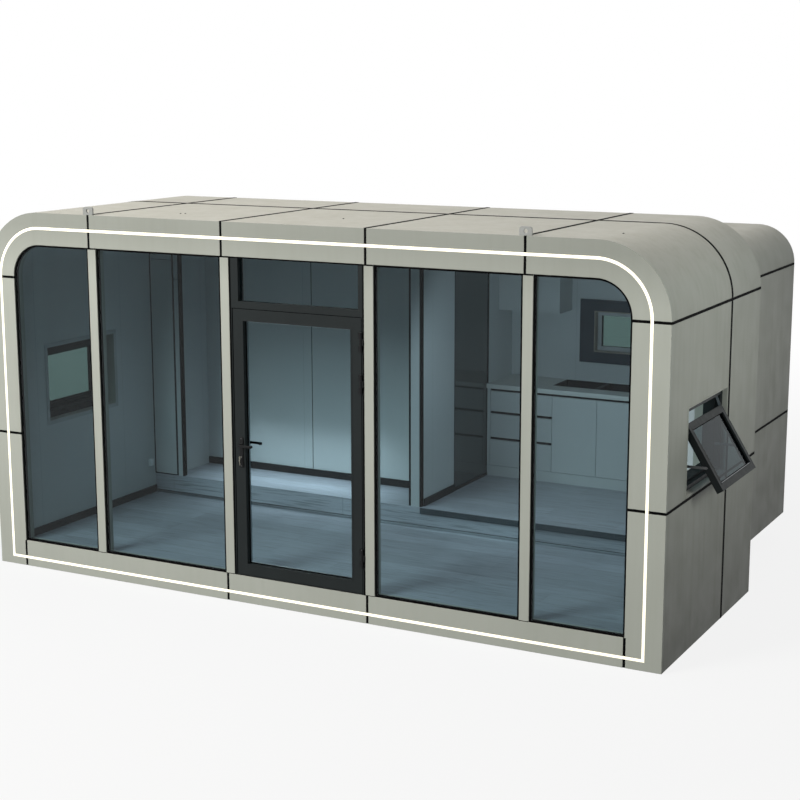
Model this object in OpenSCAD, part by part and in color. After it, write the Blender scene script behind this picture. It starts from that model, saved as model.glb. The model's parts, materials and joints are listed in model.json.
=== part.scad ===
/* [Front section] */
// Overall width of the house
body_w = 5820; // [5400:10:6400]
// Height of the roof above the ground
body_h = 2950; // [2800:10:3300]
// Depth of the front section
front_d = 2090; // [1800:10:2600]
// Outer radius of the two upper corners
corner_r = 530; // [470:5:640]
// Whole thickness of the front roof, from cladding to lining
wall_t = 160; // [120:5:180]
// Whole thickness of the side walls beside the front room
side_wall_t = 238; // [215:1:260]
// Height of the front floor above the ground
floor_z = 212; // [180:2:250]

/* [Cladding] */
// Thickness of a cladding panel
panel_t = 20; // [12:1:30]
// Width of the joint between two panels
joint_gap = 20; // [8:1:24]
// Width of the crosswise joint of the front section
cross_gap = 34; // [20:1:40]
// How far the seals stand over the face of the panels
seal_proud = 2; // [0:0.5:3]
// Height of the lower joint on the sides
low_joint_z = 1127; // [900:1:1130]
// Distance of the inner roof joints from the middle
inner_joint = 619; // [560:1:680]
// Distance of the outer roof joints from the middle
outer_joint = 1862; // [1700:1:2050]
// Shift of all roof joints to the left
joint_shift = 5; // [0:1:10]
// Distance of the crosswise joint from the front face
cross_joint = 1352; // [1340:1:1600]

/* [Front band] */
// Thickness of the band panels
band_t = 25; // [16:1:35]
// Height of the band over the glass
top_band = 258; // [220:1:320]
// Width of the band at each side of the glass
side_band = 272; // [230:1:330]
// Height of the band under the glass
bottom_band = 216; // [190:1:260]
// Corner radius of the glazed opening
opening_r = 265; // [200:1:320]
// Width of the light strip
strip_w = 22; // [14:1:30]
// Depth of the light strip in its groove
strip_t = 10; // [6:1:14]
// Distance from the side edge to the middle of the strip
strip_side = 136; // [110:1:160]
// Distance from the top edge to the middle of the strip
strip_top = 124; // [100:1:150]
// Height of the lower run of the strip above the ground
strip_bottom = 73; // [50:1:120]
// Radius of the strip at the upper corners
strip_r = 403; // [330:1:430]

/* [Glazing] */
// Width of a mullion
mullion_w = 76; // [60:1:100]
// Depth of a mullion
mullion_d = 100; // [80:1:140]
// Shift of a mullion to the right of its joint
mullion_shift = 24; // [0:1:30]
// Thickness of a sealed glass unit
glass_t = 24; // [16:1:32]
// Width of the gasket round a pane
gasket_w = 15; // [6:1:18]
// Distance from the front face to the gaskets
gasket_y = 8; // [4:1:12]
// Distance from the front face to the fixed glass
glass_y = 12; // [10:1:20]

/* [Door] */
// Width of the door frame beside the transom pane
jamb_w = 60; // [50:1:80]
// Width of the frame that shows beside the leaf
jamb_face = 22; // [16:1:30]
// Clearance round the leaf
leaf_gap = 5; // [5:0.5:8]
// Clearance of the leaf on its latch side
latch_gap = 8; // [8:0.5:10]
// Thickness of the leaf
leaf_t = 60; // [50:1:70]
// Width of the stiles and rails
stile_w = 90; // [70:1:110]
// Height of the top of the leaf above the ground
leaf_top = 2300; // [2200:5:2400]
// Height of the bar over the leaf
head_h = 53; // [40:1:70]
// Thickness of the sill plate under the leaf
sill_t = 4; // [2:1:6]
// Height of the lever axis above the ground
lever_z = 1255; // [1150:5:1350]
// Length of a lever
lever_len = 112; // [90:1:130]
// Diameter of the lever spindle
spindle_d = 14; // [10:1:18]

/* [Side windows] */
// Distance from the front face to the window
win_y = 410; // [350:5:420]
// Width of the window opening
win_w = 895; // [700:5:900]
// Height of the window sill above the ground
win_z = 1155; // [1155:5:1300]
// Height of the window opening
win_h = 622; // [500:2:700]
// Thickness of the reveal round the opening
reveal_t = 10; // [6:1:16]
// Width of the window frame
frame_w = 45; // [35:1:60]
// Depth of the window frame
frame_d = 125; // [60:1:190]
// Distance from the outside of the wall to the frame
frame_back = 35; // [25:1:45]
// Clearance between the frame and the sash
sash_gap = 6; // [5:0.5:8]
// Width of the members of the sash
sash_w = 52; // [40:1:65]
// Thickness of the sash
sash_t = 50; // [40:1:60]
// Opening angle of the sash on the right, the one on the left is shut
sash_angle = 31.7; // [10:0.1:40]
// How far the inner lip of the frame laps over the shut sash
stop_lap = 8; // [5:1:12]

/* [Rear section] */
// How much smaller the rear section is all round
rear_inset = 204; // [170:2:240]
// Distance of its hidden front end from the front face
rear_y = 1870; // [1700:5:1900]
// Distance of its back from the front face
rear_back = 3850; // [3600:10:4400]
// Whole thickness of its side walls
rear_wall_t = 251; // [200:1:280]
// Thickness of its back wall
back_wall_t = 100; // [80:1:140]
// Height of its floor above the ground
rear_floor_z = 390; // [360:2:430]
// Whole thickness of its roof
rear_roof_t = 160; // [140:5:180]

/* [Rear window] */
// Distance of its left edge from the middle
rwin_x = 930; // [850:5:1000]
// Width of the rear window
rwin_w = 860; // [600:5:900]
// Height of its sill above the ground
rwin_z = 1530; // [1500:5:1600]
// Height of the rear window
rwin_h = 380; // [300:5:400]
// Width of the dark surround at its sides
rwin_side = 138; // [100:1:140]
// Height of the dark surround over and under it
rwin_band = 100; // [80:1:110]

/* [Rooms] */
// Thickness of the inner linings
lining_t = 15; // [9:1:18]
// Height of the skirting
skirting_h = 65; // [50:1:90]
// Thickness of the skirting
skirting_t = 12; // [8:1:16]
// Width of the return panels beside the rear room
return_w = 242; // [220:1:260]
// Distance from the front face to the closet wall
closet_y = 2440; // [2300:5:2500]
// Thickness of the closet wall
closet_t = 70; // [60:1:100]
// Right face of the partition, from the middle
part_x = 100; // [0:5:200]
// Thickness of the partition
part_t = 85; // [70:1:100]
// Width of the partition column
column_w = 81; // [70:1:90]
// Distance from the front face to the inner glass panel
panel_y = 2530; // [2515:5:2600]
// Width of the inner glass panel
panel_w = 690; // [600:5:700]

/* [Kitchen] */
// Depth of the counter
counter_d = 560; // [500:5:600]
// Thickness of the counter
counter_t = 40; // [30:1:50]
// Height of the counter top above the ground
counter_z = 1250; // [1230:5:1300]
// Width of the filler between the partition and the drawers
filler_w = 32; // [20:1:50]
// Width of the stack of drawers
drawer_w = 610; // [500:5:650]
// Height of the top drawer with its slot
top_drawer_h = 212; // [180:1:230]
// Height of the middle drawer with its slot
mid_drawer_h = 242; // [200:1:260]
// Height of the slots over the upper edge of the fronts
grip_gap = 25; // [14:1:30]
// Height of the plinth
plinth_h = 100; // [80:5:120]
// Distance of the sink from the partition
sink_x = 575; // [540:5:600]
// Width of the left bowl
bowl_w = 395; // [320:5:420]
// Width of the right bowl
small_bowl_w = 300; // [280:5:350]
// Width of a bowl from front to back
bowl_d = 330; // [300:5:340]
// Depth of a bowl
bowl_h = 180; // [140:5:200]
// Wall of the sink
sink_t = 5; // [3:1:6]
// Width of the wall cabinet
wall_cab_w = 600; // [500:5:700]
// Height of its lower edge above the ground
wall_cab_z = 1900; // [1880:5:2000]
// Depth of the wall cabinet
wall_cab_d = 300; // [250:5:350]

/* [Lugs and feet] */
// Width of a lifting lug
lug_w = 95; // [80:1:110]
// Height of a lug over the roof
lug_h = 63; // [55:1:75]
// Thickness of a lug
lug_t = 12; // [8:1:16]
// Diameter of the shackle hole
lug_hole = 30; // [24:1:32]
// Distance of a lug from the front face
lug_y = 4; // [2:1:10]
// Distance of the feet from the middle
foot_x = 1850; // [1500:10:1900]
// Distance from the front face to the feet
foot_y = 3500; // [3300:10:3550]

/* [Hidden] */
$fn = 96;

half_w = body_w / 2;
high_joint_z = body_h - corner_r;
opening_half = half_w - side_band;
opening_top = body_h - top_band;
joints_x = [for (d = [-outer_joint, -inner_joint, inner_joint, outer_joint]) d - joint_shift];
mullions_x = [for (x = joints_x) x + mullion_shift];
frame_front = band_t;
frame_back_y = mullion_d + 5;
slit = 2 * body_h;

// Door bay between the two inner mullions
bay_l = mullions_x[1] + mullion_w / 2;
bay_r = mullions_x[2] - mullion_w / 2;
door_y = 5;
leaf_l = bay_l + jamb_face + latch_gap;
leaf_r = bay_r - jamb_face - leaf_gap;
leaf_bottom = bottom_band + sill_t + leaf_gap;
head_z = leaf_top + leaf_gap;
stop_y = door_y + leaf_t + leaf_gap;
frame_depth = frame_back_y - door_y;
door_glass_y = door_y + 38;
door_glass_t = 16;
transom_y = door_y + 30;
transom_l = bay_l + jamb_w + 20;
transom_r = bay_r - jamb_w + 10;
transom_top = opening_top - 8;
transom_rebate = 15;
hinge_r = 9;
hinge_x = leaf_r + leaf_gap / 2;
hinge_y = door_y - hinge_r - 3;
hinge_zs = [430, 1745, 2055];
hinge_h = 140;
plate_t = 8;
plate_w = 36;
lever_x = bay_l + jamb_w + latch_gap + plate_w / 2;
spindle_gap = 0.4;
plate_h = 235;
lever_out = 52;
lever_r = 10;
lever_t = 14;

// Side window
reveal_lip = 3;
frame_in_w = win_w - 2 * frame_w;
frame_in_h = win_h - 2 * frame_w;
pane_w = frame_in_w - 2 * sash_gap;
pane_h = frame_in_h - 2 * sash_gap;
sash_face_x = half_w - 24;
open_top_z = win_z + win_h - 120;
shut_top_z = win_z + win_h - frame_w - sash_gap;
stay_x = half_w - frame_back - 30;

// Rear section
rear_half = half_w - rear_inset;
rear_top = body_h - rear_inset;
rear_bottom = rear_inset;
rear_r = corner_r - rear_inset;
rear_in_half = rear_half - rear_wall_t;
ceiling_z = rear_top - rear_roof_t;
rear_in_r = 60;
rear_in_y = rear_back - back_wall_t;
sleeve_y = 60;
rear_frame_y = rear_back - 60;
rear_glass_y = rear_frame_y + 20;

// Inner faces
room_half = half_w - side_wall_t;
room_top = body_h - wall_t;
room_r = corner_r - wall_t;
return_x = room_half - return_w;
return_t = 20;
post_w = 44;
post_d = 60;
seal_w = 20;
inner_seal_w = 16;
corner_seal_w = 8;
post_r = return_x - seal_w;
return_joint_z = high_joint_z - 36;
post_joint_z = return_joint_z - 170;
column_y = rear_y + 20;
column_r = part_x - 22;
column_l = column_r - column_w;
part_l = part_x - part_t;
panel_seal_w = 12;
nosing_h = 50;
closet_joint_x = -1305;

// Kitchen
counter_y = rear_in_y - counter_d;
cab_y = counter_y + 20;
front_t = 18;
cab_top = counter_z - counter_t;
door_count = 4;
kitchen_w = rear_in_half - part_x;
cab_door_w = (kitchen_w - filler_w - drawer_w) / door_count;
slot = 4;
bowl_y = rear_in_y - bowl_d - 25;
bowl_gap = 30;
sink_l = part_x + sink_x;
sink_w = bowl_w + bowl_gap + small_bowl_w;
pocket = 15;

// Places its children with the origin in the middle of the front base
module from_front() {
    translate([0, -front_d / 2, 0]) children();
}

// Extrudes an outline drawn in X and Z from one depth to another
module run(y0, y1) {
    translate([0, y1, 0]) rotate([90, 0, 0]) linear_extrude(y1 - y0) children();
}

// Box between two corners
module block(a, b) {
    translate(a) cube(b - a);
}

// Portal outline: square below, two round corners above
module portal_2d(half, bottom, top, r) {
    translate([-half, bottom]) square([2 * half, top - r - bottom]);
    translate([r - half, bottom]) square([2 * (half - r), top - bottom]);
    for (s = [-1, 1]) translate([s * (half - r), top - r]) circle(r);
}

// Outline of the front section, drawn in by a distance
module body_2d(inset, bottom = 0) {
    portal_2d(half_w - inset, bottom, body_h - inset, corner_r - inset);
}

module body_ring_2d(outer, inner) {
    difference() {
        body_2d(outer);
        body_2d(inner, -1);
    }
}

// Cuts of the joints that run over the roof and down the sides
module joints_2d(gap) {
    for (x = joints_x) translate([x - gap / 2, high_joint_z]) square([gap, slit]);
    for (z = [low_joint_z, high_joint_z]) translate([-slit, z - gap / 2]) square([2 * slit, gap]);
}

module above_2d(z) {
    translate([-slit, z]) square([2 * slit, slit]);
}

// Outline of the front room, drawn out by a distance
module room_2d(grow, bottom) {
    portal_2d(room_half + grow, bottom, room_top + grow, room_r + grow);
}

module opening_2d() {
    portal_2d(opening_half, bottom_band, opening_top, opening_r);
}

// Outline of the light strip, or of its groove
module strip_2d() {
    w = strip_w / 2;
    half = half_w - strip_side;
    top = body_h - strip_top;
    difference() {
        portal_2d(half + w, strip_bottom - w, top + w, strip_r + w);
        portal_2d(half - w, strip_bottom + w, top - w, strip_r - w);
    }
}

// Both sides of the house, from a shape on the right side
module both_sides() {
    children();
    mirror([1, 0, 0]) children();
}

// Hole for a side window, wide enough for its reveal
module side_window_cut() {
    block([room_half - 50, win_y - reveal_t, win_z - reveal_t],
        [half_w + 50, win_y + win_w + reveal_t, win_z + win_h + reveal_t]);
}

module rear_window_cut() {
    block([rwin_x, rear_in_y - 50, rwin_z], [rwin_x + rwin_w, rear_back + 50, rwin_z + rwin_h]);
}

// ---- Front section ----

module front_base() {
    color("darkgray") from_front() {
        difference() {
            block([-half_w + panel_t, frame_back_y, 0], [half_w - panel_t, front_d, floor_z]);
            block([-half_w, rear_y + 20, rear_bottom], [half_w, front_d + 1, floor_z + 1]);
        }
    }
}

// Solid part of the walls and the roof, thinner where the rear section slides in
module front_shell() {
    run(frame_back_y, rear_y) difference() {
        body_2d(panel_t, floor_z);
        room_2d(lining_t, -1);
    }
    run(rear_y, front_d - sleeve_y) difference() {
        body_2d(panel_t, floor_z);
        body_2d(wall_t - lining_t, -1);
    }
}

module upper_half() {
    translate([-slit, -slit, high_joint_z]) cube(2 * slit);
}

module wall_core() {
    difference() {
        front_shell();
        upper_half();
        translate([-2 * slit, -slit, -slit]) cube(2 * slit);
        side_window_cut();
    }
}

module right_wall() {
    color("dimgray") from_front() wall_core();
}

module left_wall() {
    color("dimgray") from_front() mirror([1, 0, 0]) wall_core();
}

module front_roof() {
    color("dimgray") from_front() intersection() {
        front_shell();
        upper_half();
    }
}

// Frame behind the front band that holds the glazing
module portal_frame() {
    color("silver") from_front() run(frame_front, frame_back_y) difference() {
        body_2d(panel_t);
        opening_2d();
    }
}

// Frame that closes the gap round the rear section, clear of its seals
module back_frame() {
    color("darkgray") from_front() run(front_d - sleeve_y, front_d) difference() {
        body_2d(panel_t, floor_z);
        body_2d(rear_inset - seal_proud, -1);
    }
}

// Cladding of the front section behind the band, one row each side of the cross joint
module front_cladding() {
    for (span = [[band_t, cross_joint - cross_gap / 2], [cross_joint + cross_gap / 2, front_d]]) {
        run(span[0], span[1]) difference() {
            body_ring_2d(0, panel_t);
            joints_2d(joint_gap);
        }
    }
}

module front_roof_panels() {
    color("tan") from_front() intersection() {
        front_cladding();
        upper_half();
    }
}

module front_side_panels() {
    color("gray") from_front() difference() {
        front_cladding();
        upper_half();
        both_sides() side_window_cut();
    }
}

module front_band() {
    color("lightgray") from_front() difference() {
        run(0, band_t) difference() {
            body_2d(0);
            opening_2d();
            joints_2d(joint_gap);
            for (x = [joints_x[1], joints_x[2]]) bottom_slit(x);
            for (s = [-1, 1]) bottom_slit(s * opening_half);
        }
        run(-1, strip_t) strip_2d();
    }
}

// Cut of a joint in the band under the glass
module bottom_slit(x, gap = joint_gap) {
    translate([x - gap / 2, -1]) square([gap, bottom_band + 1]);
}

module light_strip() {
    color("lightyellow") from_front() run(0, strip_t) strip_2d();
}

// Dark seals in the joints, and the gaskets of the fixed panes
module seals() {
    color("black") from_front() {
        run(strip_t, band_t) intersection() {
            difference() {
                body_2d(0);
                opening_2d();
            }
            union() {
                joints_2d(joint_gap);
                for (x = [joints_x[1], joints_x[2]]) bottom_slit(x);
                for (s = [-1, 1]) bottom_slit(s * opening_half);
            }
        }
        run(band_t, front_d) intersection() {
            body_ring_2d(-seal_proud, panel_t);
            joints_2d(joint_gap);
        }
        run(cross_joint - cross_gap / 2, cross_joint + cross_gap / 2) difference() {
            body_ring_2d(-seal_proud, panel_t);
            joints_2d(joint_gap);
        }
        run(rear_y + return_t, rear_back - panel_t) intersection() {
            rear_ring_2d(-seal_proud, panel_t);
            joints_2d(joint_gap);
        }
        run(rear_back - panel_t, rear_back) intersection() {
            rear_2d(0);
            back_joints_2d();
            difference() {
                rear_2d(0);
                translate([rwin_x, rwin_z]) square([rwin_w, rwin_h]);
            }
        }
        run(gasket_y, glass_y + glass_t + 4) difference() {
            fixed_panes_2d(0);
            fixed_panes_2d(gasket_w);
        }
        run(rear_y + 2, rear_y + return_t) intersection() {
            portal_2d(return_x, rear_floor_z, ceiling_z, rear_in_r);
            for (s = [post_r, -return_x]) translate([s, rear_floor_z]) square([seal_w, slit]);
        }
        run(rear_y - 4, rear_y) difference() {
            room_2d(0, rear_floor_z + 10);
            room_2d(-corner_seal_w, rear_floor_z);
        }
        inner_seal_x = post_r - post_w - inner_seal_w;
        run(rear_y + 4, rear_y + 50) post_2d(inner_seal_x, inner_seal_x + inner_seal_w);
        for (x = [column_l - seal_w, column_r]) {
            block([x, column_y + 2, rear_floor_z], [x + seal_w, rear_y + post_d, ceiling_z]);
        }
        for (y = [panel_y - panel_seal_w, panel_y + panel_w]) {
            block([part_l, y, rear_floor_z], [part_x, y + panel_seal_w, ceiling_z]);
        }
    }
}

// Outlines of the four fixed panes, drawn in by a margin
module fixed_panes_2d(margin) {
    spans = [
        [-opening_half, mullions_x[0] - mullion_w / 2],
        [mullions_x[0] + mullion_w / 2, mullions_x[1] - mullion_w / 2],
        [mullions_x[2] + mullion_w / 2, mullions_x[3] - mullion_w / 2],
        [mullions_x[3] + mullion_w / 2, opening_half]
    ];
    intersection() {
        portal_2d(opening_half - margin, bottom_band + margin, opening_top - margin,
            opening_r - margin);
        for (s = spans) {
            translate([s[0] + margin, bottom_band + margin])
                square([s[1] - s[0] - 2 * margin, opening_top - bottom_band - 2 * margin]);
        }
    }
}

module mullions() {
    color("silver") from_front() for (x = mullions_x) {
        block([x - mullion_w / 2, 2, bottom_band], [x + mullion_w / 2, mullion_d, opening_top]);
    }
}

module front_glass() {
    color("lightblue", 0.4) from_front() {
        run(glass_y, glass_y + glass_t) fixed_panes_2d(gasket_w);
        block([transom_l, transom_y, head_z + head_h],
            [transom_r, transom_y + glass_t, transom_top]);
    }
}

// ---- Door ----

module door_frame() {
    z1 = head_z + head_h;
    color("darkslategray") from_front() difference() {
        block([bay_l, door_y, bottom_band], [bay_r, frame_back_y, opening_top]);
        block([bay_l + jamb_face, 0, bottom_band + sill_t], [bay_r - jamb_face, stop_y, head_z]);
        block([bay_l + jamb_w, 0, bottom_band + sill_t + 16],
            [bay_r - jamb_w, frame_back_y + 1, leaf_top - 25]);
        block([transom_l, 0, z1], [transom_r, frame_back_y + 1, transom_top]);
        block([transom_l - transom_rebate, transom_y + glass_t, z1 - transom_rebate],
            [transom_r + transom_rebate, frame_back_y + 1, transom_top]);
    }
}

module door_leaf() {
    color("darkslategray") from_front() difference() {
        block([leaf_l, door_y, leaf_bottom], [leaf_r, door_y + leaf_t, leaf_top]);
        block([leaf_l + stile_w, 0, leaf_bottom + stile_w],
            [leaf_r - stile_w, stop_y, leaf_top - stile_w]);
        spindle_bore();
    }
}

module spindle_bore() {
    translate([lever_x, stop_y + 50, lever_z]) rotate([90, 0, 0])
        cylinder(h = stop_y + 100, d = spindle_d + 2 * spindle_gap);
}

module door_glass() {
    color("lightblue", 0.4) from_front() block(
        [leaf_l + stile_w, door_glass_y, leaf_bottom + stile_w],
        [leaf_r - stile_w, door_glass_y + door_glass_t, leaf_top - stile_w]);
}

// One hinge at a height: the middle knuckle is the frame's, the outer two the leaf's
module knuckle(z0, z1) {
    translate([hinge_x, hinge_y, z0]) cylinder(h = z1 - z0, r = hinge_r);
}

pin_r = 4;
pin_gap = 0.3;
flap_t = 3;
flap_w = 20;
knuckle_gap = 1;

module frame_hinges() {
    third = hinge_h / 3;
    color("black") from_front() for (z = hinge_zs) {
        knuckle(z + third, z + 2 * third);
        translate([hinge_x, hinge_y, z + 4]) cylinder(h = hinge_h - 8, r = pin_r);
        block([hinge_x + hinge_r - 1, hinge_y, z + third],
            [hinge_x + flap_w, hinge_y + flap_t, z + 2 * third]);
        block([hinge_x + flap_w - flap_t, hinge_y, z + third],
            [hinge_x + flap_w, door_y, z + 2 * third]);
    }
}

module leaf_hinges() {
    third = hinge_h / 3;
    color("black") from_front() for (z = hinge_zs) {
        for (k = [[0, third - knuckle_gap], [2 * third + knuckle_gap, hinge_h]]) {
            difference() {
                union() {
                    knuckle(z + k[0], z + k[1]);
                    block([hinge_x - flap_w, hinge_y, z + k[0]],
                        [hinge_x - hinge_r + 1, hinge_y + flap_t, z + k[1]]);
                    block([hinge_x - flap_w, hinge_y, z + k[0]],
                        [hinge_x - flap_w + flap_t, door_y, z + k[1]]);
                }
                translate([hinge_x, hinge_y, z + 4 - pin_gap])
                    cylinder(h = hinge_h - 8 + 2 * pin_gap, r = pin_r + pin_gap);
            }
        }
    }
}

module lock_plates() {
    z0 = lever_z + 60 - plate_h;
    color("dimgray") from_front() difference() {
        union() {
            for (y = [door_y - plate_t, door_y + leaf_t]) {
                block([lever_x - plate_w / 2, y, z0],
                    [lever_x + plate_w / 2, y + plate_t, z0 + plate_h]);
            }
            translate([lever_x, door_y - plate_t, lever_z - 95]) rotate([90, 0, 0])
                cylinder(h = 4, d = 20);
        }
        spindle_bore();
    }
}

module lever_half() {
    translate([0, 0, plate_t + 1]) cylinder(h = lever_out - plate_t - 1, r = lever_r);
    translate([0, -lever_r, lever_out - lever_t]) cube([lever_len - lever_r, 2 * lever_r, lever_t]);
    translate([lever_len - lever_r, 0, lever_out - lever_t]) cylinder(h = lever_t, r = lever_r);
}

module door_lever() {
    color("black") from_front() translate([lever_x, door_y, lever_z]) {
        rotate([90, 0, 0]) lever_half();
        translate([0, leaf_t, 0]) mirror([0, 1, 0]) rotate([90, 0, 0]) lever_half();
        translate([0, leaf_t + plate_t + 2, 0]) rotate([90, 0, 0])
            cylinder(h = leaf_t + 2 * plate_t + 4, d = spindle_d);
    }
}

// ---- Side windows ----

// Rectangular ring in the wall plane, between two distances from the middle
module window_ring(x0, x1, out, thick) {
    difference() {
        block([x0, win_y - out, win_z - out], [x1, win_y + win_w + out, win_z + win_h + out]);
        block([x0 - 1, win_y - out + thick, win_z - out + thick],
            [x1 + 1, win_y + win_w + out - thick, win_z + win_h + out - thick]);
    }
}

module window_surrounds() {
    slope = 12;
    color("lightgray") from_front() both_sides() {
        window_ring(room_half - reveal_lip, half_w + reveal_lip, reveal_t, reveal_t);
        translate([half_w, win_y, win_z]) rotate([-90, 0, 0]) linear_extrude(win_w)
            polygon([[-frame_back, 0], [reveal_lip, 0], [reveal_lip, -2], [-frame_back, -slope]]);
    }
}

module window_frames() {
    color("darkslategray") from_front() both_sides() {
        window_ring(half_w - frame_back - frame_d, half_w - frame_back, 0, frame_w);
        window_ring(half_w - frame_back - frame_d, sash_face_x - sash_t, 0,
            frame_w + sash_gap + stop_lap);
    }
}

// Puts its children on a sash with its top at a height: X goes out of its face, Z up along it
module on_sash(top_z, angle) {
    translate([sash_face_x, win_y + frame_w + sash_gap, top_z]) rotate([0, -angle, 0])
        translate([-sash_t, 0, -pane_h]) children();
}

// Puts its children on the open sash of the right window and on the shut one of the left
module on_both_sashes() {
    on_sash(open_top_z, sash_angle) children();
    mirror([1, 0, 0]) on_sash(shut_top_z, 0) children();
}

module window_sashes() {
    color("darkslategray") from_front() on_both_sashes() difference() {
        cube([sash_t, pane_w, pane_h]);
        translate([-1, sash_w, sash_w])
            cube([sash_t + 2, pane_w - 2 * sash_w, pane_h - 2 * sash_w]);
    }
}

module window_glass() {
    color("lightblue", 0.4) from_front() {
        on_both_sashes() translate([(sash_t - door_glass_t) / 2, sash_w, sash_w])
            cube([door_glass_t, pane_w - 2 * sash_w, pane_h - 2 * sash_w]);
        block([rwin_x + frame_w, rear_glass_y, rwin_z + frame_w],
            [rwin_x + rwin_w - frame_w, rear_glass_y + glass_t, rwin_z + rwin_h - frame_w]);
    }
}

// Flat bar between two points of the plane across the window
module bar(p, q, y) {
    d = q - p;
    translate([p[0], y, p[1]]) rotate([0, -atan2(d[1], d[0]), 0]) translate([0, 0, -9])
        cube([norm(d), sash_gap, 18]);
}

// A point on the side of the open sash: down from its top, in from its face
function on_side(down, back) = [
    sash_face_x + down * sin(sash_angle) - back * cos(sash_angle),
    open_top_z - down * cos(sash_angle) - back * sin(sash_angle)
];

// Two arms at each side of a window. On the shut one they lie in the gap along the sash.
module window_stays() {
    low = [stay_x, win_z + frame_w + 160];
    high = [stay_x, win_z + win_h - frame_w - 20];
    low_arm = norm(on_side(330, 25) - low);
    high_arm = norm(on_side(60, 25) - high);
    color("silver") from_front() {
        for (y = [win_y + frame_w, win_y + win_w - frame_w - sash_gap]) {
            bar(low, on_side(330, 25), y);
            bar(high, on_side(60, 25), y);
            mirror([1, 0, 0]) {
                bar(low, low + [0, low_arm], y);
                bar(high, high - [0, high_arm], y);
            }
        }
    }
}

// ---- Lifting lugs and feet ----

module lifting_lugs() {
    r = lug_w / 2;
    color("silver") from_front() for (x = [joints_x[0], joints_x[3]]) {
        translate([x, lug_y, body_h]) run(0, lug_t) difference() {
            union() {
                translate([-r, 0]) square([lug_w, lug_h - 20]);
                translate([-r + 20, 0]) square([lug_w - 40, lug_h]);
                for (s = [-1, 1]) translate([s * (r - 20), lug_h - 20]) circle(20);
            }
            translate([0, lug_h / 2]) circle(d = lug_hole);
        }
    }
}

module rear_feet() {
    color("dimgray") from_front() for (x = [-foot_x, 0, foot_x]) {
        translate([x - 100, foot_y - 100, 0]) cube([200, 200, 12]);
        translate([x - 40, foot_y - 40, 12]) cube([80, 80, rear_bottom - 12]);
    }
}

// ---- Rear section ----

module rear_2d(inset, bottom = rear_bottom) {
    portal_2d(rear_half - inset, bottom, rear_top - inset, rear_r - inset);
}

module rear_ring_2d(outer, inner) {
    difference() {
        rear_2d(outer);
        rear_2d(inner, -1);
    }
}

// Inside of the rear section above its floor
module rear_room_2d() {
    portal_2d(rear_in_half, 0, ceiling_z, rear_in_r);
}

module rear_floor() {
    color("darkgray") from_front() {
        block([-rear_half + panel_t, rear_y + return_t, rear_bottom],
            [rear_half - panel_t, rear_back - panel_t, rear_floor_z]);
        block([-room_half, rear_y, floor_z], [room_half, rear_y + return_t, rear_floor_z]);
    }
}

module rear_side_walls() {
    color("dimgray") from_front() both_sides() block(
        [rear_in_half + lining_t, rear_y + return_t, rear_floor_z],
        [rear_half - panel_t, rear_in_y, high_joint_z]);
}

module rear_roof() {
    color("dimgray") from_front() run(rear_y + return_t, rear_in_y) intersection() {
        difference() {
            rear_2d(panel_t);
            portal_2d(rear_in_half + lining_t, 0, ceiling_z + lining_t, rear_in_r + lining_t);
        }
        above_2d(high_joint_z);
    }
}

module rear_back_wall() {
    color("gainsboro") from_front() difference() {
        run(rear_in_y, rear_back - panel_t) rear_2d(panel_t, rear_floor_z);
        rear_window_cut();
    }
}

module rear_cladding() {
    run(rear_y + return_t, rear_back - panel_t) difference() {
        rear_ring_2d(0, panel_t);
        joints_2d(joint_gap);
    }
}

module rear_roof_panels() {
    color("tan") from_front() intersection() {
        rear_cladding();
        upper_half();
    }
}

module rear_side_panels() {
    color("gray") from_front() difference() {
        rear_cladding();
        upper_half();
    }
}

// Outline of the joints on the back of the house
module back_joints_2d() {
    joints_2d(joint_gap);
    for (x = joints_x) translate([x - joint_gap / 2, 0]) square([joint_gap, slit]);
}

module rear_back_panels() {
    color("gray") from_front() difference() {
        run(rear_back - panel_t, rear_back) difference() {
            rear_2d(0);
            back_joints_2d();
        }
        rear_window_cut();
    }
}

// Surround on the inside and frame on the outside of the rear window
module rear_window_frame() {
    color("black") from_front() {
        difference() {
            block([rwin_x - rwin_side, rear_in_y - 30, rwin_z - rwin_band],
                [rwin_x + rwin_w + rwin_side, rear_in_y, rwin_z + rwin_h + rwin_band]);
            rear_window_cut();
        }
        difference() {
            block([rwin_x, rear_frame_y, rwin_z], [rwin_x + rwin_w, rear_back - 5, rwin_z + rwin_h]);
            block([rwin_x + frame_w, 0, rwin_z + frame_w],
                [rwin_x + rwin_w - frame_w, rear_back, rwin_z + rwin_h - frame_w]);
        }
    }
}

// ---- Rooms ----

module linings() {
    color("whitesmoke") from_front() {
        difference() {
            run(frame_back_y, rear_y) difference() {
                room_2d(lining_t, floor_z);
                room_2d(0, -1);
            }
            both_sides() side_window_cut();
        }
        run(rear_y + post_d, rear_in_y) difference() {
            portal_2d(rear_in_half + lining_t, rear_floor_z, ceiling_z + lining_t,
                rear_in_r + lining_t);
            rear_room_2d();
        }
    }
}

// Panels that close the step between the two sections, with a post beside each
module return_panels() {
    color("gainsboro") from_front() {
        run(rear_y, rear_y + return_t) difference() {
            intersection() {
                room_2d(2 * lining_t, rear_floor_z);
                body_2d(wall_t - lining_t);
            }
            portal_2d(return_x, 0, ceiling_z, rear_in_r);
            fine_joint_2d(return_joint_z);
        }
        run(rear_y, rear_y + post_d) difference() {
            post_2d(post_r - post_w, post_r);
            fine_joint_2d(post_joint_z);
        }
    }
}

module fine_joint_2d(z) {
    translate([-slit, z - 3]) square([2 * slit, 6]);
}

// Upright strips on both sides of the opening to the rear room
module post_2d(x0, x1) {
    intersection() {
        portal_2d(post_r, rear_floor_z, ceiling_z, rear_in_r);
        for (s = [x0, -x1]) translate([s, rear_floor_z]) square([x1 - x0, slit]);
    }
}

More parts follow.
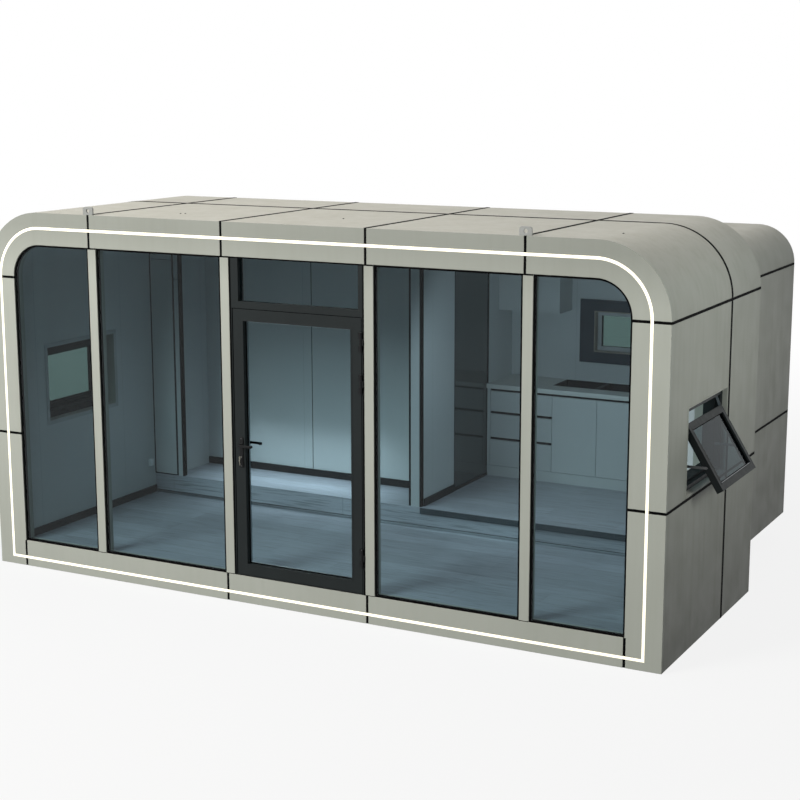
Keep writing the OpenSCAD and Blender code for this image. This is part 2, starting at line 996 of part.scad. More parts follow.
module skirting() {
    top = floor_z + skirting_h;
    upper = rear_floor_z + skirting_h;
    color("black") from_front() {
        both_sides() {
            block([room_half - skirting_t, frame_back_y, floor_z], [room_half, rear_y, top]);
            block([return_x, rear_y - 3, rear_floor_z], [room_half, rear_y, rear_floor_z + 10]);
        }
        block([column_r + seal_w, rear_y - skirting_t, rear_floor_z - nosing_h],
            [room_half, rear_y, rear_floor_z]);
        block([-rear_in_half, closet_y - skirting_t, rear_floor_z],
            [part_l, closet_y, upper]);
        block([part_x, rear_y + post_d, rear_floor_z],
            [part_x + skirting_t, panel_y - panel_seal_w, upper]);
        block([part_x, panel_y - panel_seal_w, rear_floor_z],
            [part_x + skirting_t / 2, cab_y, rear_floor_z + skirting_h / 3]);
    }
}

module partition_wall() {
    color("gainsboro") from_front() {
        block([column_l, column_y, rear_floor_z], [column_r, rear_y + post_d, ceiling_z]);
        block([part_l, rear_y + post_d, rear_floor_z],
            [part_x, panel_y - panel_seal_w, ceiling_z]);
        block([part_l, panel_y + panel_w + panel_seal_w, rear_floor_z],
            [part_x, rear_in_y, ceiling_z]);
    }
}

module inner_glass_panel() {
    color("darkslateblue") from_front() block([part_x - 30, panel_y, rear_floor_z],
        [part_x - 6, panel_y + panel_w, ceiling_z]);
}

module closet_wall() {
    color("gainsboro") from_front() difference() {
        run(closet_y, closet_y + closet_t) intersection() {
            rear_room_2d();
            translate([-slit, rear_floor_z]) square([slit + part_l, slit]);
        }
        block([closet_joint_x - 3, closet_y - 1, 0], [closet_joint_x + 3, closet_y + 4, slit]);
    }
}

// ---- Kitchen ----

module kitchen_carcass() {
    color("dimgray") from_front() difference() {
        block([part_x, cab_y + front_t, rear_floor_z], [rear_in_half, rear_in_y, cab_top]);
        block([sink_l - pocket, bowl_y - pocket, cab_top - bowl_h - pocket],
            [sink_l + sink_w + pocket, bowl_y + bowl_d + pocket, slit]);
    }
}

// One front of the kitchen, from its left edge, width, foot and the foot of the next one
module cabinet_front(x, w, z, next_z) {
    block([x, cab_y, z], [x + w - slot, cab_y + front_t, next_z - grip_gap]);
}

// Drawer and door fronts with their plinth and filler, and the wall cabinet over them
module kitchen_cupboards() {
    fronts_z = rear_floor_z + plinth_h;
    drawers_x = part_x + filler_w;
    top_z = cab_top - top_drawer_h;
    drawers_z = [fronts_z, top_z - mid_drawer_h, top_z, cab_top];
    color("gainsboro") from_front() {
        for (i = [0:2]) cabinet_front(drawers_x, drawer_w, drawers_z[i], drawers_z[i + 1]);
        for (i = [0:door_count - 1]) {
            cabinet_front(drawers_x + drawer_w + i * cab_door_w, cab_door_w, fronts_z, cab_top);
        }
        block([part_x, cab_y, fronts_z], [drawers_x - slot, cab_y + front_t, cab_top]);
        block([part_x, cab_y, rear_floor_z],
            [rear_in_half, cab_y + front_t, fronts_z - slot]);
        block([part_x, rear_in_y - wall_cab_d, wall_cab_z],
            [part_x + wall_cab_w, rear_in_y, ceiling_z]);
    }
}

module bowls(grow, drop) {
    z0 = counter_z - bowl_h - drop;
    for (b = [[sink_l, bowl_w], [sink_l + bowl_w + bowl_gap, small_bowl_w]]) {
        block([b[0] - grow, bowl_y - grow, z0],
            [b[0] + b[1] + grow, bowl_y + bowl_d + grow, counter_z + 20]);
    }
}

module kitchen_counter() {
    color("white") from_front() difference() {
        block([part_x, counter_y, cab_top], [rear_in_half, rear_in_y, counter_z]);
        block([sink_l - sink_t, bowl_y - sink_t, 0],
            [sink_l + sink_w + sink_t, bowl_y + bowl_d + sink_t, slit]);
    }
}

module sink() {
    color("black") from_front() difference() {
        union() {
            intersection() {
                bowls(sink_t, sink_t);
                block([0, 0, 0], [slit, slit, counter_z]);
            }
            block([sink_l - sink_t, bowl_y - sink_t, counter_z - 10],
                [sink_l + sink_w + sink_t, bowl_y + bowl_d + sink_t, counter_z]);
        }
        bowls(0, 0);
    }
}

front_base();
left_wall();
right_wall();
front_roof();
portal_frame();
back_frame();
front_roof_panels();
front_side_panels();
front_band();
light_strip();
seals();
mullions();
front_glass();
door_frame();
door_leaf();
door_glass();
frame_hinges();
leaf_hinges();
lock_plates();
door_lever();
window_surrounds();
window_frames();
window_sashes();
window_glass();
window_stays();
lifting_lugs();
rear_floor();
rear_side_walls();
rear_back_wall();
rear_roof();
rear_roof_panels();
rear_side_panels();
rear_back_panels();
rear_window_frame();
rear_feet();
linings();
return_panels();
skirting();
partition_wall();
inner_glass_panel();
closet_wall();
kitchen_carcass();
kitchen_cupboards();
kitchen_counter();
sink();
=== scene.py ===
import bpy
import json
import math
from mathutils import Matrix, Vector


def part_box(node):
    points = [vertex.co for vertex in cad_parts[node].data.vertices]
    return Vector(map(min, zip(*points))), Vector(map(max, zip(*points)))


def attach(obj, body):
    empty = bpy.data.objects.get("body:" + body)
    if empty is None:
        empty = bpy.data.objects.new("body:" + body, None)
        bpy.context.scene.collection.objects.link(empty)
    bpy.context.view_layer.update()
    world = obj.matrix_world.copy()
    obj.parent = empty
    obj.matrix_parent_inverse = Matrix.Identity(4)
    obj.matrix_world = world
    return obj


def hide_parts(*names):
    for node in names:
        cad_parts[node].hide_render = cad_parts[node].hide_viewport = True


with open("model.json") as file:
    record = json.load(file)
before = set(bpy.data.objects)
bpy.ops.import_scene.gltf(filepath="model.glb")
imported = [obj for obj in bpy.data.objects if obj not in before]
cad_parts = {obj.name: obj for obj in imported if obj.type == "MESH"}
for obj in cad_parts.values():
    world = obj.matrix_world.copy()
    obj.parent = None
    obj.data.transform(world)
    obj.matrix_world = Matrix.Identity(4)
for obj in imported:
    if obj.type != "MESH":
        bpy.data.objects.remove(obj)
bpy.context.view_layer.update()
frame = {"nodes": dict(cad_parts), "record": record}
nodes = frame["nodes"]
scene = bpy.context.scene
mm = 0.001
lap = 1 * mm  # how far pieces sink into what they lie on, or stop short of an edge
turns = {"X": (0, math.pi / 2, 0), "Y": (math.pi / 2, 0, 0), "Z": (0, 0, 0)}  # lays Z along an axis
sharp = math.radians(35)  # edges sharper than this are eased and never shaded smooth
print("frame loaded:", len(nodes), "nodes")


def deselectAll():
    bpy.ops.object.select_all(action="DESELECT")


def pick(obj):
    deselectAll()
    obj.select_set(True)
    bpy.context.view_layer.objects.active = obj


def objectMode():
    bpy.ops.object.mode_set(mode="OBJECT")


def editFaces(obj, wanted):
    # edit mode with just the wanted faces selected
    pick(obj)
    bpy.ops.object.mode_set(mode="EDIT")
    bpy.ops.mesh.select_mode(type="FACE")
    bpy.ops.mesh.select_all(action="DESELECT")
    objectMode()
    for face in obj.data.polygons:
        face.select = wanted(face)
    bpy.ops.object.mode_set(mode="EDIT")


def settle():
    # applies place, turn and size, so that the object stays at the origin
    bpy.ops.object.transform_apply(location=True, rotation=True, scale=True)


def facesOut():
    # turns the faces of the edited mesh outwards and leaves edit mode
    bpy.ops.mesh.select_all(action="SELECT")
    bpy.ops.mesh.normals_make_consistent(inside=False)
    objectMode()


def rounded(obj, width, segments):
    # bevels every sharp edge and applies the bevel
    pick(obj)
    soft = obj.modifiers.new("edges", "BEVEL")
    soft.width = width
    soft.segments = segments
    soft.limit_method = "ANGLE"
    soft.angle_limit = sharp
    bpy.ops.object.modifier_apply(modifier=soft.name)
    return obj


def block(low, high):
    # plain box between two corners
    deselectAll()
    bpy.ops.mesh.primitive_cube_add(size=1, location=[(a + b) / 2 for a, b in zip(low, high)])
    obj = bpy.context.active_object
    obj.scale = [b - a for a, b in zip(low, high)]
    settle()
    return obj


def bar(low, high, edge=0.8 * mm, segments=1):
    # folded or extruded bar between two corners, with eased edges
    thinnest = min(b - a for a, b in zip(low, high))
    return rounded(block(low, high), min(edge, 0.3 * thinnest), segments)


def disc(place, radius, length, axis="Z", sides=32):
    # plain cylinder along an axis, its middle at the place
    deselectAll()
    bpy.ops.mesh.primitive_cylinder_add(radius=radius, depth=length, vertices=sides,
                                        location=place, rotation=turns[axis])
    settle()
    return bpy.context.active_object


def turned(place, radius, length, axis="Z", sides=32, edge=0.5 * mm):
    # turned part with eased rims, its middle at the place
    return rounded(disc(place, radius, length, axis, sides), edge, 2)


def fitting(foot, sizes, sides, edge=0.5 * mm, axis="Z", way=1):
    # turned part that stands on a face: its radius, its depth and how high its middle is
    radius, depth, height = sizes
    place = list(foot)
    place["XYZ".index(axis)] += way * height
    return turned(place, radius, depth, axis, sides, edge)


def ring(low, high, width, normal="Y", edge=0.6 * mm):
    # mitred frame between two corners: a plate is inset, its middle removed, and it is thickened
    deselectAll()
    axis = "XYZ".index(normal)
    middle = [(a + b) / 2 for a, b in zip(low, high)]
    middle[axis] = low[axis]
    bpy.ops.mesh.primitive_plane_add(size=1, location=middle, rotation=turns[normal])
    obj = bpy.context.active_object
    bpy.ops.object.transform_apply(location=False, rotation=True, scale=False)
    obj.scale = [b - a if i != axis else 1 for i, (a, b) in enumerate(zip(low, high))]
    settle()
    editFaces(obj, lambda face: True)
    bpy.ops.mesh.inset(thickness=width)
    bpy.ops.mesh.delete(type="FACE")
    bpy.ops.mesh.select_all(action="SELECT")
    depth = [0, 0, 0]
    depth[axis] = high[axis] - low[axis]
    bpy.ops.mesh.extrude_region_move(TRANSFORM_OT_translate={"value": depth})
    facesOut()
    return rounded(obj, edge, 1)


def joined(parts):
    deselectAll()
    for part in parts:
        part.select_set(True)
    bpy.context.view_layer.objects.active = parts[0]
    bpy.ops.object.join()
    return bpy.context.active_object


def placed(obj, matrix):
    # moves the mesh itself, so that the object stays at the origin
    obj.data.transform(matrix)
    obj.data.update()
    return obj


def copied(obj):
    twin = obj.copy()
    twin.data = obj.data.copy()
    scene.collection.objects.link(twin)
    return twin


def finished(obj, name, body, slot, material=None):
    # gives the slot's finish, or one of its own, and rides on its body
    pick(obj)
    settle()
    obj.data.materials.clear()
    obj.data.materials.append(material or finishes[slot])
    bpy.ops.object.shade_smooth_by_angle(angle=sharp)
    obj.name = name
    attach(obj, body)
    return obj


def nodeTree(name):
    material = bpy.data.materials.new(name)
    material.use_nodes = True
    tree = material.node_tree
    tree.nodes.clear()
    return material, tree


def add(tree, kind, **values):
    node = tree.nodes.new(kind)
    for key, value in values.items():
        if key in node.inputs:
            node.inputs[key].default_value = value
        else:
            setattr(node, key, value)
    return node


def link(tree, source, target):
    tree.links.new(source, target)


def coordinates(tree, scale=(1, 1, 1)):
    place = add(tree, "ShaderNodeTexCoord")
    mapping = add(tree, "ShaderNodeMapping", Scale=scale)
    link(tree, place.outputs["Object"], mapping.inputs["Vector"])
    return mapping.outputs["Vector"]


def axesOf(tree, vector=None):
    split = add(tree, "ShaderNodeSeparateXYZ")
    link(tree, vector or add(tree, "ShaderNodeTexCoord").outputs["Object"], split.inputs[0])
    return split.outputs


def noise(tree, scale, detail, stretch=(1, 1, 1), roughness=0.5):
    node = add(tree, "ShaderNodeTexNoise", Scale=scale, Detail=detail, Roughness=roughness)
    link(tree, coordinates(tree, stretch), node.inputs["Vector"])
    return node.outputs["Fac"]


def rerange(tree, value, low, high, newLow, newHigh):
    node = add(tree, "ShaderNodeMapRange", **{"From Min": low, "From Max": high,
                                              "To Min": newLow, "To Max": newHigh})
    link(tree, value, node.inputs["Value"])
    return node.outputs["Result"]


def clouded(tree, scale, detail=3, low=0.0, high=1.0):
    # soft noise spread over a range of values
    return rerange(tree, noise(tree, scale, detail), 0.3, 0.7, low, high)


def mixColor(tree, factor, first, second, blend="MIX"):
    node = tree.nodes.new("ShaderNodeMix")
    node.data_type = "RGBA"
    node.blend_type = blend
    sockets = {"Factor": node.inputs[0], "A": node.inputs[6], "B": node.inputs[7]}
    for name, value in (("Factor", factor), ("A", first), ("B", second)):
        if isinstance(value, bpy.types.NodeSocket):
            link(tree, value, sockets[name])
        elif name == "Factor":
            sockets[name].default_value = value
        else:
            sockets[name].default_value = (*value, 1)
    return node.outputs[2]


def combine(tree, operation, first, second=0.0):
    node = add(tree, "ShaderNodeMath", operation=operation)
    for socket, value in zip(node.inputs, (first, second)):
        if isinstance(value, bpy.types.NodeSocket):
            link(tree, value, socket)
        else:
            socket.default_value = value
    return node.outputs[0]


def between(tree, value, low, high):
    # 1 where the value lies between two limits
    above = combine(tree, "GREATER_THAN", value, low)
    return combine(tree, "MULTIPLY", above, combine(tree, "LESS_THAN", value, high))


def bumped(tree, height, strength, distance, edge=0.0):
    bump = add(tree, "ShaderNodeBump", Strength=strength, Distance=distance)
    link(tree, height, bump.inputs["Height"])
    if edge:
        rim = add(tree, "ShaderNodeBevel", samples=4, Radius=edge)
        link(tree, rim.outputs["Normal"], bump.inputs["Normal"])
    return bump.outputs["Normal"]


def principled(tree, **values):
    shader = add(tree, "ShaderNodeBsdfPrincipled")
    out = add(tree, "ShaderNodeOutputMaterial")
    link(tree, shader.outputs["BSDF"], out.inputs["Surface"])
    for key, value in values.items():
        socket = shader.inputs[key]
        if isinstance(value, bpy.types.NodeSocket):
            link(tree, value, socket)
        elif key in ("Base Color", "Emission Color") and len(value) == 3:
            socket.default_value = (*value, 1)
        else:
            socket.default_value = value


def blended(tree, share, first, second, kind="ShaderNodeOutputMaterial"):
    # output that mixes two shaders by a share
    mix = add(tree, "ShaderNodeMixShader")
    link(tree, share, mix.inputs[0])
    link(tree, first.outputs[0], mix.inputs[1])
    link(tree, second.outputs[0], mix.inputs[2])
    link(tree, mix.outputs[0], add(tree, kind).inputs["Surface"])


def shades(color, factor):
    return tuple(min(1, channel * factor) for channel in color)


coatPlan = {"specular": 0.12, "gloss": (0.42, 0.54), "edge": 4 * mm, "splashed": (0.1, 1.75),
            "eaves": (2.5, 2.86), "cloud": (0.88, 0.88, 0.87), "rain": (0.78, 0.79, 0.72)}


def paintedShade(tree, normal, lowSideShade, eavesShade):
    # painted shade, as the share of the coat's colour that is left: the side walls are darker towards the
    # ground, the front is darker under the roof edge
    height = axesOf(tree)["Z"]
    low = rerange(tree, height, *coatPlan["splashed"], lowSideShade, 1.0)
    onSide = rerange(tree, combine(tree, "ABSOLUTE", normal["X"]), 0.5, 0.9, 0.0, 1.0)
    high = rerange(tree, height, *coatPlan["eaves"], 1.0, eavesShade)
    onFront = rerange(tree, normal["Y"], -0.9, -0.5, 1.0, 0.0)
    kept = mixColor(tree, onSide, (1, 1, 1), low)
    return mixColor(tree, 1.0, kept, mixColor(tree, onFront, (1, 1, 1), high), "MULTIPLY")


def coatedPanel(name, color, litTopColor, grime, lowSideShade, eavesShade=1.0):
    # satin coat on folded aluminium: faint clouding, upright rain marks, and painted light: a lighter,
    # warmer tone on faces that point up
    material, tree = nodeTree(name)
    normal = axesOf(tree, add(tree, "ShaderNodeNewGeometry").outputs["Normal"])
    # painted light: faces that point up take the lighter, warmer tone
    upLitShare = rerange(tree, normal["Z"], 0.4, 0.95, 0.0, 1.0)
    plain = mixColor(tree, upLitShare, color, litTopColor)
    cloud = clouded(tree, 1.3, 4)
    base = mixColor(tree, combine(tree, "MULTIPLY", cloud, 0.5), plain,
                    mixColor(tree, 1.0, plain, coatPlan["cloud"], "MULTIPLY"))
    streak = rerange(tree, noise(tree, 2.0, 5, (9, 9, 0.5)), 0.45, 0.75, 0.0, grime)
    dirty = mixColor(tree, 1.0, base, coatPlan["rain"], "MULTIPLY")
    base = mixColor(tree, streak, base, dirty)
    # painted shade: darker low on the side walls, and on the front under the roof edge
    base = mixColor(tree, 1.0, base, paintedShade(tree, normal, lowSideShade, eavesShade), "MULTIPLY")
    gloss = clouded(tree, 6, 4, *coatPlan["gloss"])
    principled(tree, **{"Base Color": base, "Roughness": gloss,
                        "Specular IOR Level": coatPlan["specular"],
                        "Normal": bumped(tree, noise(tree, 35, 3), 0.04, 0.0008, coatPlan["edge"])})
    return material


def powderCoat(name, color, gloss, metal=0.0, sheenLevel=0.3):
    # fine textured powder coat on a frame or fitting
    material, tree = nodeTree(name)
    cloud = clouded(tree, 5)
    base = mixColor(tree, cloud, color, shades(color, 1.22))
    rough = clouded(tree, 30, 3, gloss - 0.05, gloss + 0.07)
    principled(tree, **{"Base Color": base, "Roughness": rough, "Metallic": metal,
                        "Specular IOR Level": sheenLevel,
                        "Normal": bumped(tree, noise(tree, 240, 2), 0.03, 0.0004, 0.0018)})
    return material


nosingTall = 60 * mm


def stepTrim(name, color, nosing):
    # dark skirting, and the blue-grey nosing of the step between the two floors
    material, tree = nodeTree(name)
    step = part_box("rear_floor")[1][2]
    height = axesOf(tree)["Z"]
    onStep = between(tree, height, step - nosingTall, step + 1 * mm)
    cloud = clouded(tree, 7)
    dark = mixColor(tree, cloud, color, shades(color, 1.3))
    pale = mixColor(tree, cloud, nosing, shades(nosing, 1.2))
    rough = clouded(tree, 25, 3, 0.4, 0.52)
    principled(tree, **{"Base Color": mixColor(tree, onStep, dark, pale), "Roughness": rough,
                        "Specular IOR Level": 0.2,
                        "Normal": bumped(tree, noise(tree, 90, 2), 0.03, 0.0004, 0.0015)})
    return material


def rubber(name, color):
    material, tree = nodeTree(name)
    dust = rerange(tree, noise(tree, 14, 4), 0.4, 0.8, 0.0, 0.5)
    base = mixColor(tree, dust, color, tuple(channel + 0.003 for channel in color))
    rough = clouded(tree, 60, 2, 0.7, 0.85)
    principled(tree, **{"Base Color": base, "Roughness": rough, "Specular IOR Level": 0.04,
                        "Normal": bumped(tree, noise(tree, 120, 2), 0.1, 0.0004)})
    return material


glassPlan = {"ior": 1.5, "haze": 0.006, "gloss": 0.015, "mirror": (0.9, 0.97, 1.0), "openFrom": 2.8}


def paneGlass(name, plan, tint, openSashLitTint=None, coated=0.025):
    # a sealed unit: light passes straight through with a tint, and the outer faces mirror
    material, tree = nodeTree(name)
    fresnel = add(tree, "ShaderNodeFresnel", IOR=plan["ior"])
    share = combine(tree, "SUBTRACT", fresnel.outputs[0], coated)
    haze = rerange(tree, noise(tree, 3.5, 4), 0.35, 0.75, 0.0, plan["haze"])
    share = combine(tree, "ADD", share, haze)
    side = add(tree, "ShaderNodeNewGeometry")
    outside = combine(tree, "SUBTRACT", 1.0, side.outputs["Backfacing"])
    share = combine(tree, "MULTIPLY", share, outside)
    through = add(tree, "ShaderNodeBsdfTransparent", Color=(*tint, 1))
    if openSashLitTint:  # painted light: only the open sash, on the right, gets a lighter, bluer tint than the shut one, though the glass is the same
        onRight = combine(tree, "GREATER_THAN", axesOf(tree)["X"], plan["openFrom"])
        link(tree, mixColor(tree, onRight, tint, openSashLitTint), through.inputs["Color"])
    mirror = add(tree, "ShaderNodeBsdfGlossy", Roughness=plan["gloss"], Color=(*plan["mirror"], 1))
    blended(tree, share, through, mirror)
    return material


# the middle of the strip runs at "half" to each side and at "top", round corners of "radius"
stripPlan = {"half": 2.774, "top": 2.826, "radius": 0.403, "low": 0.073, "fade": (4.4 * mm, 9.9 * mm),
             "white": (1.0, 0.98, 0.86), "warm": (0.60, 0.50, 0.27), "cover": (0.9, 0.87, 0.78),
             "diodes": 9, "glint": (1, 0.96, 0.8), "glintShare": 0.1, "strength": 1.06}


def litDiffuser(name, plan):
    # opal cover of the light strip: white along its middle, warmer towards its edges
    material, tree = nodeTree(name)
    axes = axesOf(tree)
    fromMiddle = combine(tree, "ABSOLUTE", axes["X"])
    inX = combine(tree, "SUBTRACT", fromMiddle, plan["half"] - plan["radius"])
    inZ = combine(tree, "SUBTRACT", axes["Z"], plan["top"] - plan["radius"])
    cornerX = combine(tree, "POWER", combine(tree, "MAXIMUM", inX, 0.0), 2.0)
    cornerZ = combine(tree, "POWER", combine(tree, "MAXIMUM", inZ, 0.0), 2.0)
    reach = combine(tree, "SQRT", combine(tree, "ADD", cornerX, cornerZ))
    reach = combine(tree, "SUBTRACT", reach, plan["radius"])
    below = combine(tree, "SUBTRACT", plan["low"], axes["Z"])
    off = combine(tree, "ABSOLUTE", combine(tree, "MAXIMUM", reach, below))
    edge = rerange(tree, off, *plan["fade"], 0.0, 1.0)
    diodes = add(tree, "ShaderNodeTexWave", Scale=plan["diodes"], Distortion=0.0)
    link(tree, coordinates(tree, (1, 0, 1)), diodes.inputs["Vector"])
    glow = mixColor(tree, edge, plan["white"], plan["warm"])
    spots = rerange(tree, diodes.outputs["Fac"], 0, 1, 0, plan["glintShare"])
    glow = mixColor(tree, spots, glow, plan["glint"])
    principled(tree, **{"Base Color": plan["cover"], "Roughness": 0.35,
                        "Emission Color": glow, "Emission Strength": plan["strength"]})
    return material


buttJoint = {"half": 1.5 * mm, "share": 0.55, "shade": (0.25, 0.26, 0.26)}


def liningPanel(name, color, jointPitch, gloss=(0.38, 0.5)):
    # smooth laminated wall panel with fine upright butt joints
    material, tree = nodeTree(name)
    cloud = clouded(tree, 0.9)
    base = mixColor(tree, cloud, color, shades(color, 0.95))
    axes = axesOf(tree)
    along = combine(tree, "ADD", axes["X"], axes["Y"])
    wrapped = combine(tree, "PINGPONG", along, jointPitch / 2)
    joint = combine(tree, "LESS_THAN", wrapped, buttJoint["half"])
    joint = combine(tree, "MULTIPLY", joint, buttJoint["share"])
    base = mixColor(tree, joint, base, buttJoint["shade"])
    rough = clouded(tree, 9, 3, *gloss)
    principled(tree, **{"Base Color": base, "Roughness": rough, "Specular IOR Level": 0.3,
                        "Normal": bumped(tree, noise(tree, 90, 2), 0.03, 0.0005, 0.002)})
    return material


boardPlan = {"width": 0.19, "length": 1.8, "offset": 0.37, "gap": 1.4 * mm,
             "pale": (0.43, 0.44, 0.475), "shade": (0.355, 0.365, 0.40), "grain": (0.13, 0.14, 0.15),
             "seam": (0.08, 0.08, 0.08), "seamShare": 0.8, "steel": (0.3, 0.31, 0.31)}


def floorBoards(name, plan):
    # pale grey boards with dark grain on the floors and the step, painted steel elsewhere
    material, tree = nodeTree(name)
    sizes = {"Brick Width": plan["length"], "Row Height": plan["width"], "Mortar Size": plan["gap"]}
    greys = {"Color1": (0, 0, 0, 1), "Color2": (1, 1, 1, 1), "Mortar": (0.5, 0.5, 0.5, 1)}
    bricks = add(tree, "ShaderNodeTexBrick", offset=plan["offset"], Scale=1.0, **sizes, **greys)
    link(tree, add(tree, "ShaderNodeTexCoord").outputs["Object"], bricks.inputs["Vector"])
    broad = noise(tree, 5, 5, (0.35, 4, 4), 0.62)
    lines = noise(tree, 20, 4, (0.16, 4.5, 4.5), 0.6)
    base = mixColor(tree, rerange(tree, broad, 0.32, 0.7, 0, 1), plan["shade"], plan["pale"])
    base = mixColor(tree, rerange(tree, lines, 0.5, 0.68, 0, 0.7), base, plan["grain"])
    tone = rerange(tree, bricks.outputs["Color"], 0, 1, 0.84, 1.12)
    tinted = add(tree, "ShaderNodeHueSaturation", Saturation=0.9)
    link(tree, tone, tinted.inputs["Value"])
    link(tree, base, tinted.inputs["Color"])
    seams = mixColor(tree, combine(tree, "MULTIPLY", bricks.outputs["Fac"], plan["seamShare"]),
                     tinted.outputs["Color"], plan["seam"])
    normal = axesOf(tree, add(tree, "ShaderNodeNewGeometry").outputs["Normal"])
    top = combine(tree, "MAXIMUM", combine(tree, "GREATER_THAN", normal["Z"], 0.9),
                  combine(tree, "LESS_THAN", normal["Y"], -0.9))
    rough = rerange(tree, broad, 0.3, 0.7, 0.28, 0.42)
    height = combine(tree, "SUBTRACT", combine(tree, "MULTIPLY", lines, 0.3), bricks.outputs["Fac"])
    principled(tree, **{"Base Color": mixColor(tree, top, plan["steel"], seams), "Roughness": rough,
                        "Normal": bumped(tree, height, 0.2, 0.001)})
    return material


def fineStone(name, color, fleckColor, gloss):
    # composite stone: soft clouding with a faint even fleck
    material, tree = nodeTree(name)
    cloud = clouded(tree, 3, 4)
    fleck = rerange(tree, noise(tree, 70, 2), 0.35, 0.65, 0, 0.12)
    base = mixColor(tree, cloud, color, shades(color, 0.95))
    base = mixColor(tree, fleck, base, fleckColor)
    rough = clouded(tree, 8, 3, gloss - 0.05, gloss + 0.08)
    principled(tree, **{"Base Color": base, "Roughness": rough, "Specular IOR Level": 0.15,
                        "Normal": bumped(tree, noise(tree, 20, 2), 0.01, 0.0004, 0.002)})
    return material


def brushedMetal(name, color, along=(1, 40, 40)):
    material, tree = nodeTree(name)
    lines = noise(tree, 30, 4, along)
    base = mixColor(tree, rerange(tree, lines, 0.3, 0.7, 0, 1), color, shades(color, 0.8))
    rough = rerange(tree, lines, 0.3, 0.7, 0.25, 0.4)
    principled(tree, **{"Base Color": base, "Roughness": rough, "Metallic": 1.0,
                        "Normal": bumped(tree, lines, 0.1, 0.0003, 0.001)})
    return material


def darkMirror(name):
    # near-black back-painted glass
    material, tree = nodeTree(name)
    cloud = clouded(tree, 1.1)
    base = mixColor(tree, cloud, (0.018, 0.026, 0.026), (0.03, 0.04, 0.038))
    rough = clouded(tree, 8, 3, 0.05, 0.1)
    principled(tree, **{"Base Color": base, "Roughness": rough, "Coat Weight": 0.5,
                        "Normal": bumped(tree, noise(tree, 3, 2), 0.02, 0.002, 0.001)})
    return material


# painted shade: the last numbers of the two coats darken the sides towards the ground, and the band's
# front under the roof edge
finishes = {
    # the second colour of each coat is the painted light on faces that point up
    "cladding": coatedPanel("claddingCoat", (0.43, 0.44, 0.395), (0.475, 0.46, 0.405), 0.35, 0.47),
    "band": coatedPanel("bandCoat", (0.435, 0.45, 0.405), (0.475, 0.46, 0.41), 0.15, 0.7, 0.74),
    "base_steel": powderCoat("basePaint", (0.2, 0.21, 0.21), 0.5),
    "wall_core": rubber("wallMembrane", (0.03, 0.032, 0.034)),
    "light": litDiffuser("stripDiffuser", stripPlan),
    "seal": rubber("sealRubber", (0.002, 0.002, 0.0022)),
    "clear_glass": paneGlass("facadeGlass", glassPlan, (0.69, 0.775, 0.80)),
    "dark_frame": powderCoat("charcoalCoat", (0.0095, 0.0125, 0.0130), 0.5, 0.0, 0.16),
    "black_metal": powderCoat("blackFittings", (0.005, 0.0055, 0.006), 0.4, 0.0, 0.16),
    "steel": brushedMetal("stayArms", (0.16, 0.165, 0.17)),
    "lug_paint": powderCoat("lugPaint", (0.25, 0.255, 0.245), 0.5, 0.3),
    "lining": liningPanel("wallLining", (0.56, 0.575, 0.57), 1.15),
    "trim": stepTrim("darkTrim", (0.005, 0.006, 0.007), (0.04, 0.052, 0.06)),
    "floor": floorBoards("floorBoards", boardPlan),
    "dark_glass": darkMirror("innerDarkGlass"),
    "cabinet": liningPanel("cupboardLaminate", (0.56, 0.57, 0.56), 50.0, (0.3, 0.4)),
    "carcass": powderCoat("carcassBoard", (0.012, 0.012, 0.013), 0.5, 0.0, 0.1),
    "counter": fineStone("counterStone", (0.66, 0.66, 0.63), (0.56, 0.56, 0.54), 0.48),
    "sink_black": fineStone("sinkComposite", (0.016, 0.016, 0.018), (0.04, 0.04, 0.04), 0.4),
}

# the last tint is painted light on the open sash: lighter and bluer than the shut one's
shadedGlass = paneGlass("shadedGlass", glassPlan, (0.36, 0.43, 0.405), (0.42, 0.50, 0.54), 0.085)
surroundCoat = powderCoat("surroundCoat", (0.028, 0.040, 0.052), 0.5, 0.0, 0.2)
keyMetal = brushedMetal("keyNickel", (0.62, 0.58, 0.48), (1, 12, 12))
spacerMetal = brushedMetal("spacerBar", (0.42, 0.44, 0.46), (40, 40, 1))
paleTrim = powderCoat("paleTrim", (0.40, 0.41, 0.41), 0.45)
outletPlastic = powderCoat("outletPlastic", (0.84, 0.86, 0.86), 0.35)

slotOf = {part["node"]: part["material_slot"] for part in frame["record"]["subparts"]}
for name, obj in nodes.items():
    obj.data.materials.clear()
    obj.data.materials.append(finishes[slotOf[name]])
nodes["window_glass"].data.materials[0] = shadedGlass
nodes["rear_window_frame"].data.materials[0] = surroundCoat
print("finishes given:", len(finishes))

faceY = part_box("front_band")[0][1]  # outer face of the front band
glassFoot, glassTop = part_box("mullions")[0][2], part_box("mullions")[1][2]

jointsX = (-1.867, -0.624, 0.614, 1.857)  # upright joints of the band above the glass and of the roof

bandJoint = {"low": (-2.638, *jointsX[1:3], 2.638), "levels": (1.127, 2.42), "gap": 20 * mm,
             "depth": 10 * mm, "inset": 1.0 * mm}


def fillBandJoints(plan):
    # black sealant that brings the joints of the band up to its face
    half = plan["gap"] / 2
    near, far = faceY + plan["inset"], faceY + plan["depth"]
    foot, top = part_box("front_band")[0][2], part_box("front_band")[1][2]
    inner, outer = plan["low"][-1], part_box("front_band")[1][0]
    strips = [bar((x - half, near, glassTop), (x + half, far, top - lap)) for x in jointsX]
    strips += [bar((x - half, near, foot + lap), (x + half, far, glassFoot)) for x in plan["low"]]
    for level in plan["levels"]:
        for side in (-1, 1):
            ends = sorted((side * inner, side * (outer - lap)))
            strips.append(bar((ends[0], near, level - half), (ends[1], far, level + half)))
    finished(joined(strips), "bandJointSealant", "house", "seal")


fillBandJoints(bandJoint)

roofJoint = {"width": 32 * mm, "proud": 2.6 * mm, "front": 4 * mm, "cross": 1.352, "crossWidth": 40 * mm,
             "crossPast": 0.5}


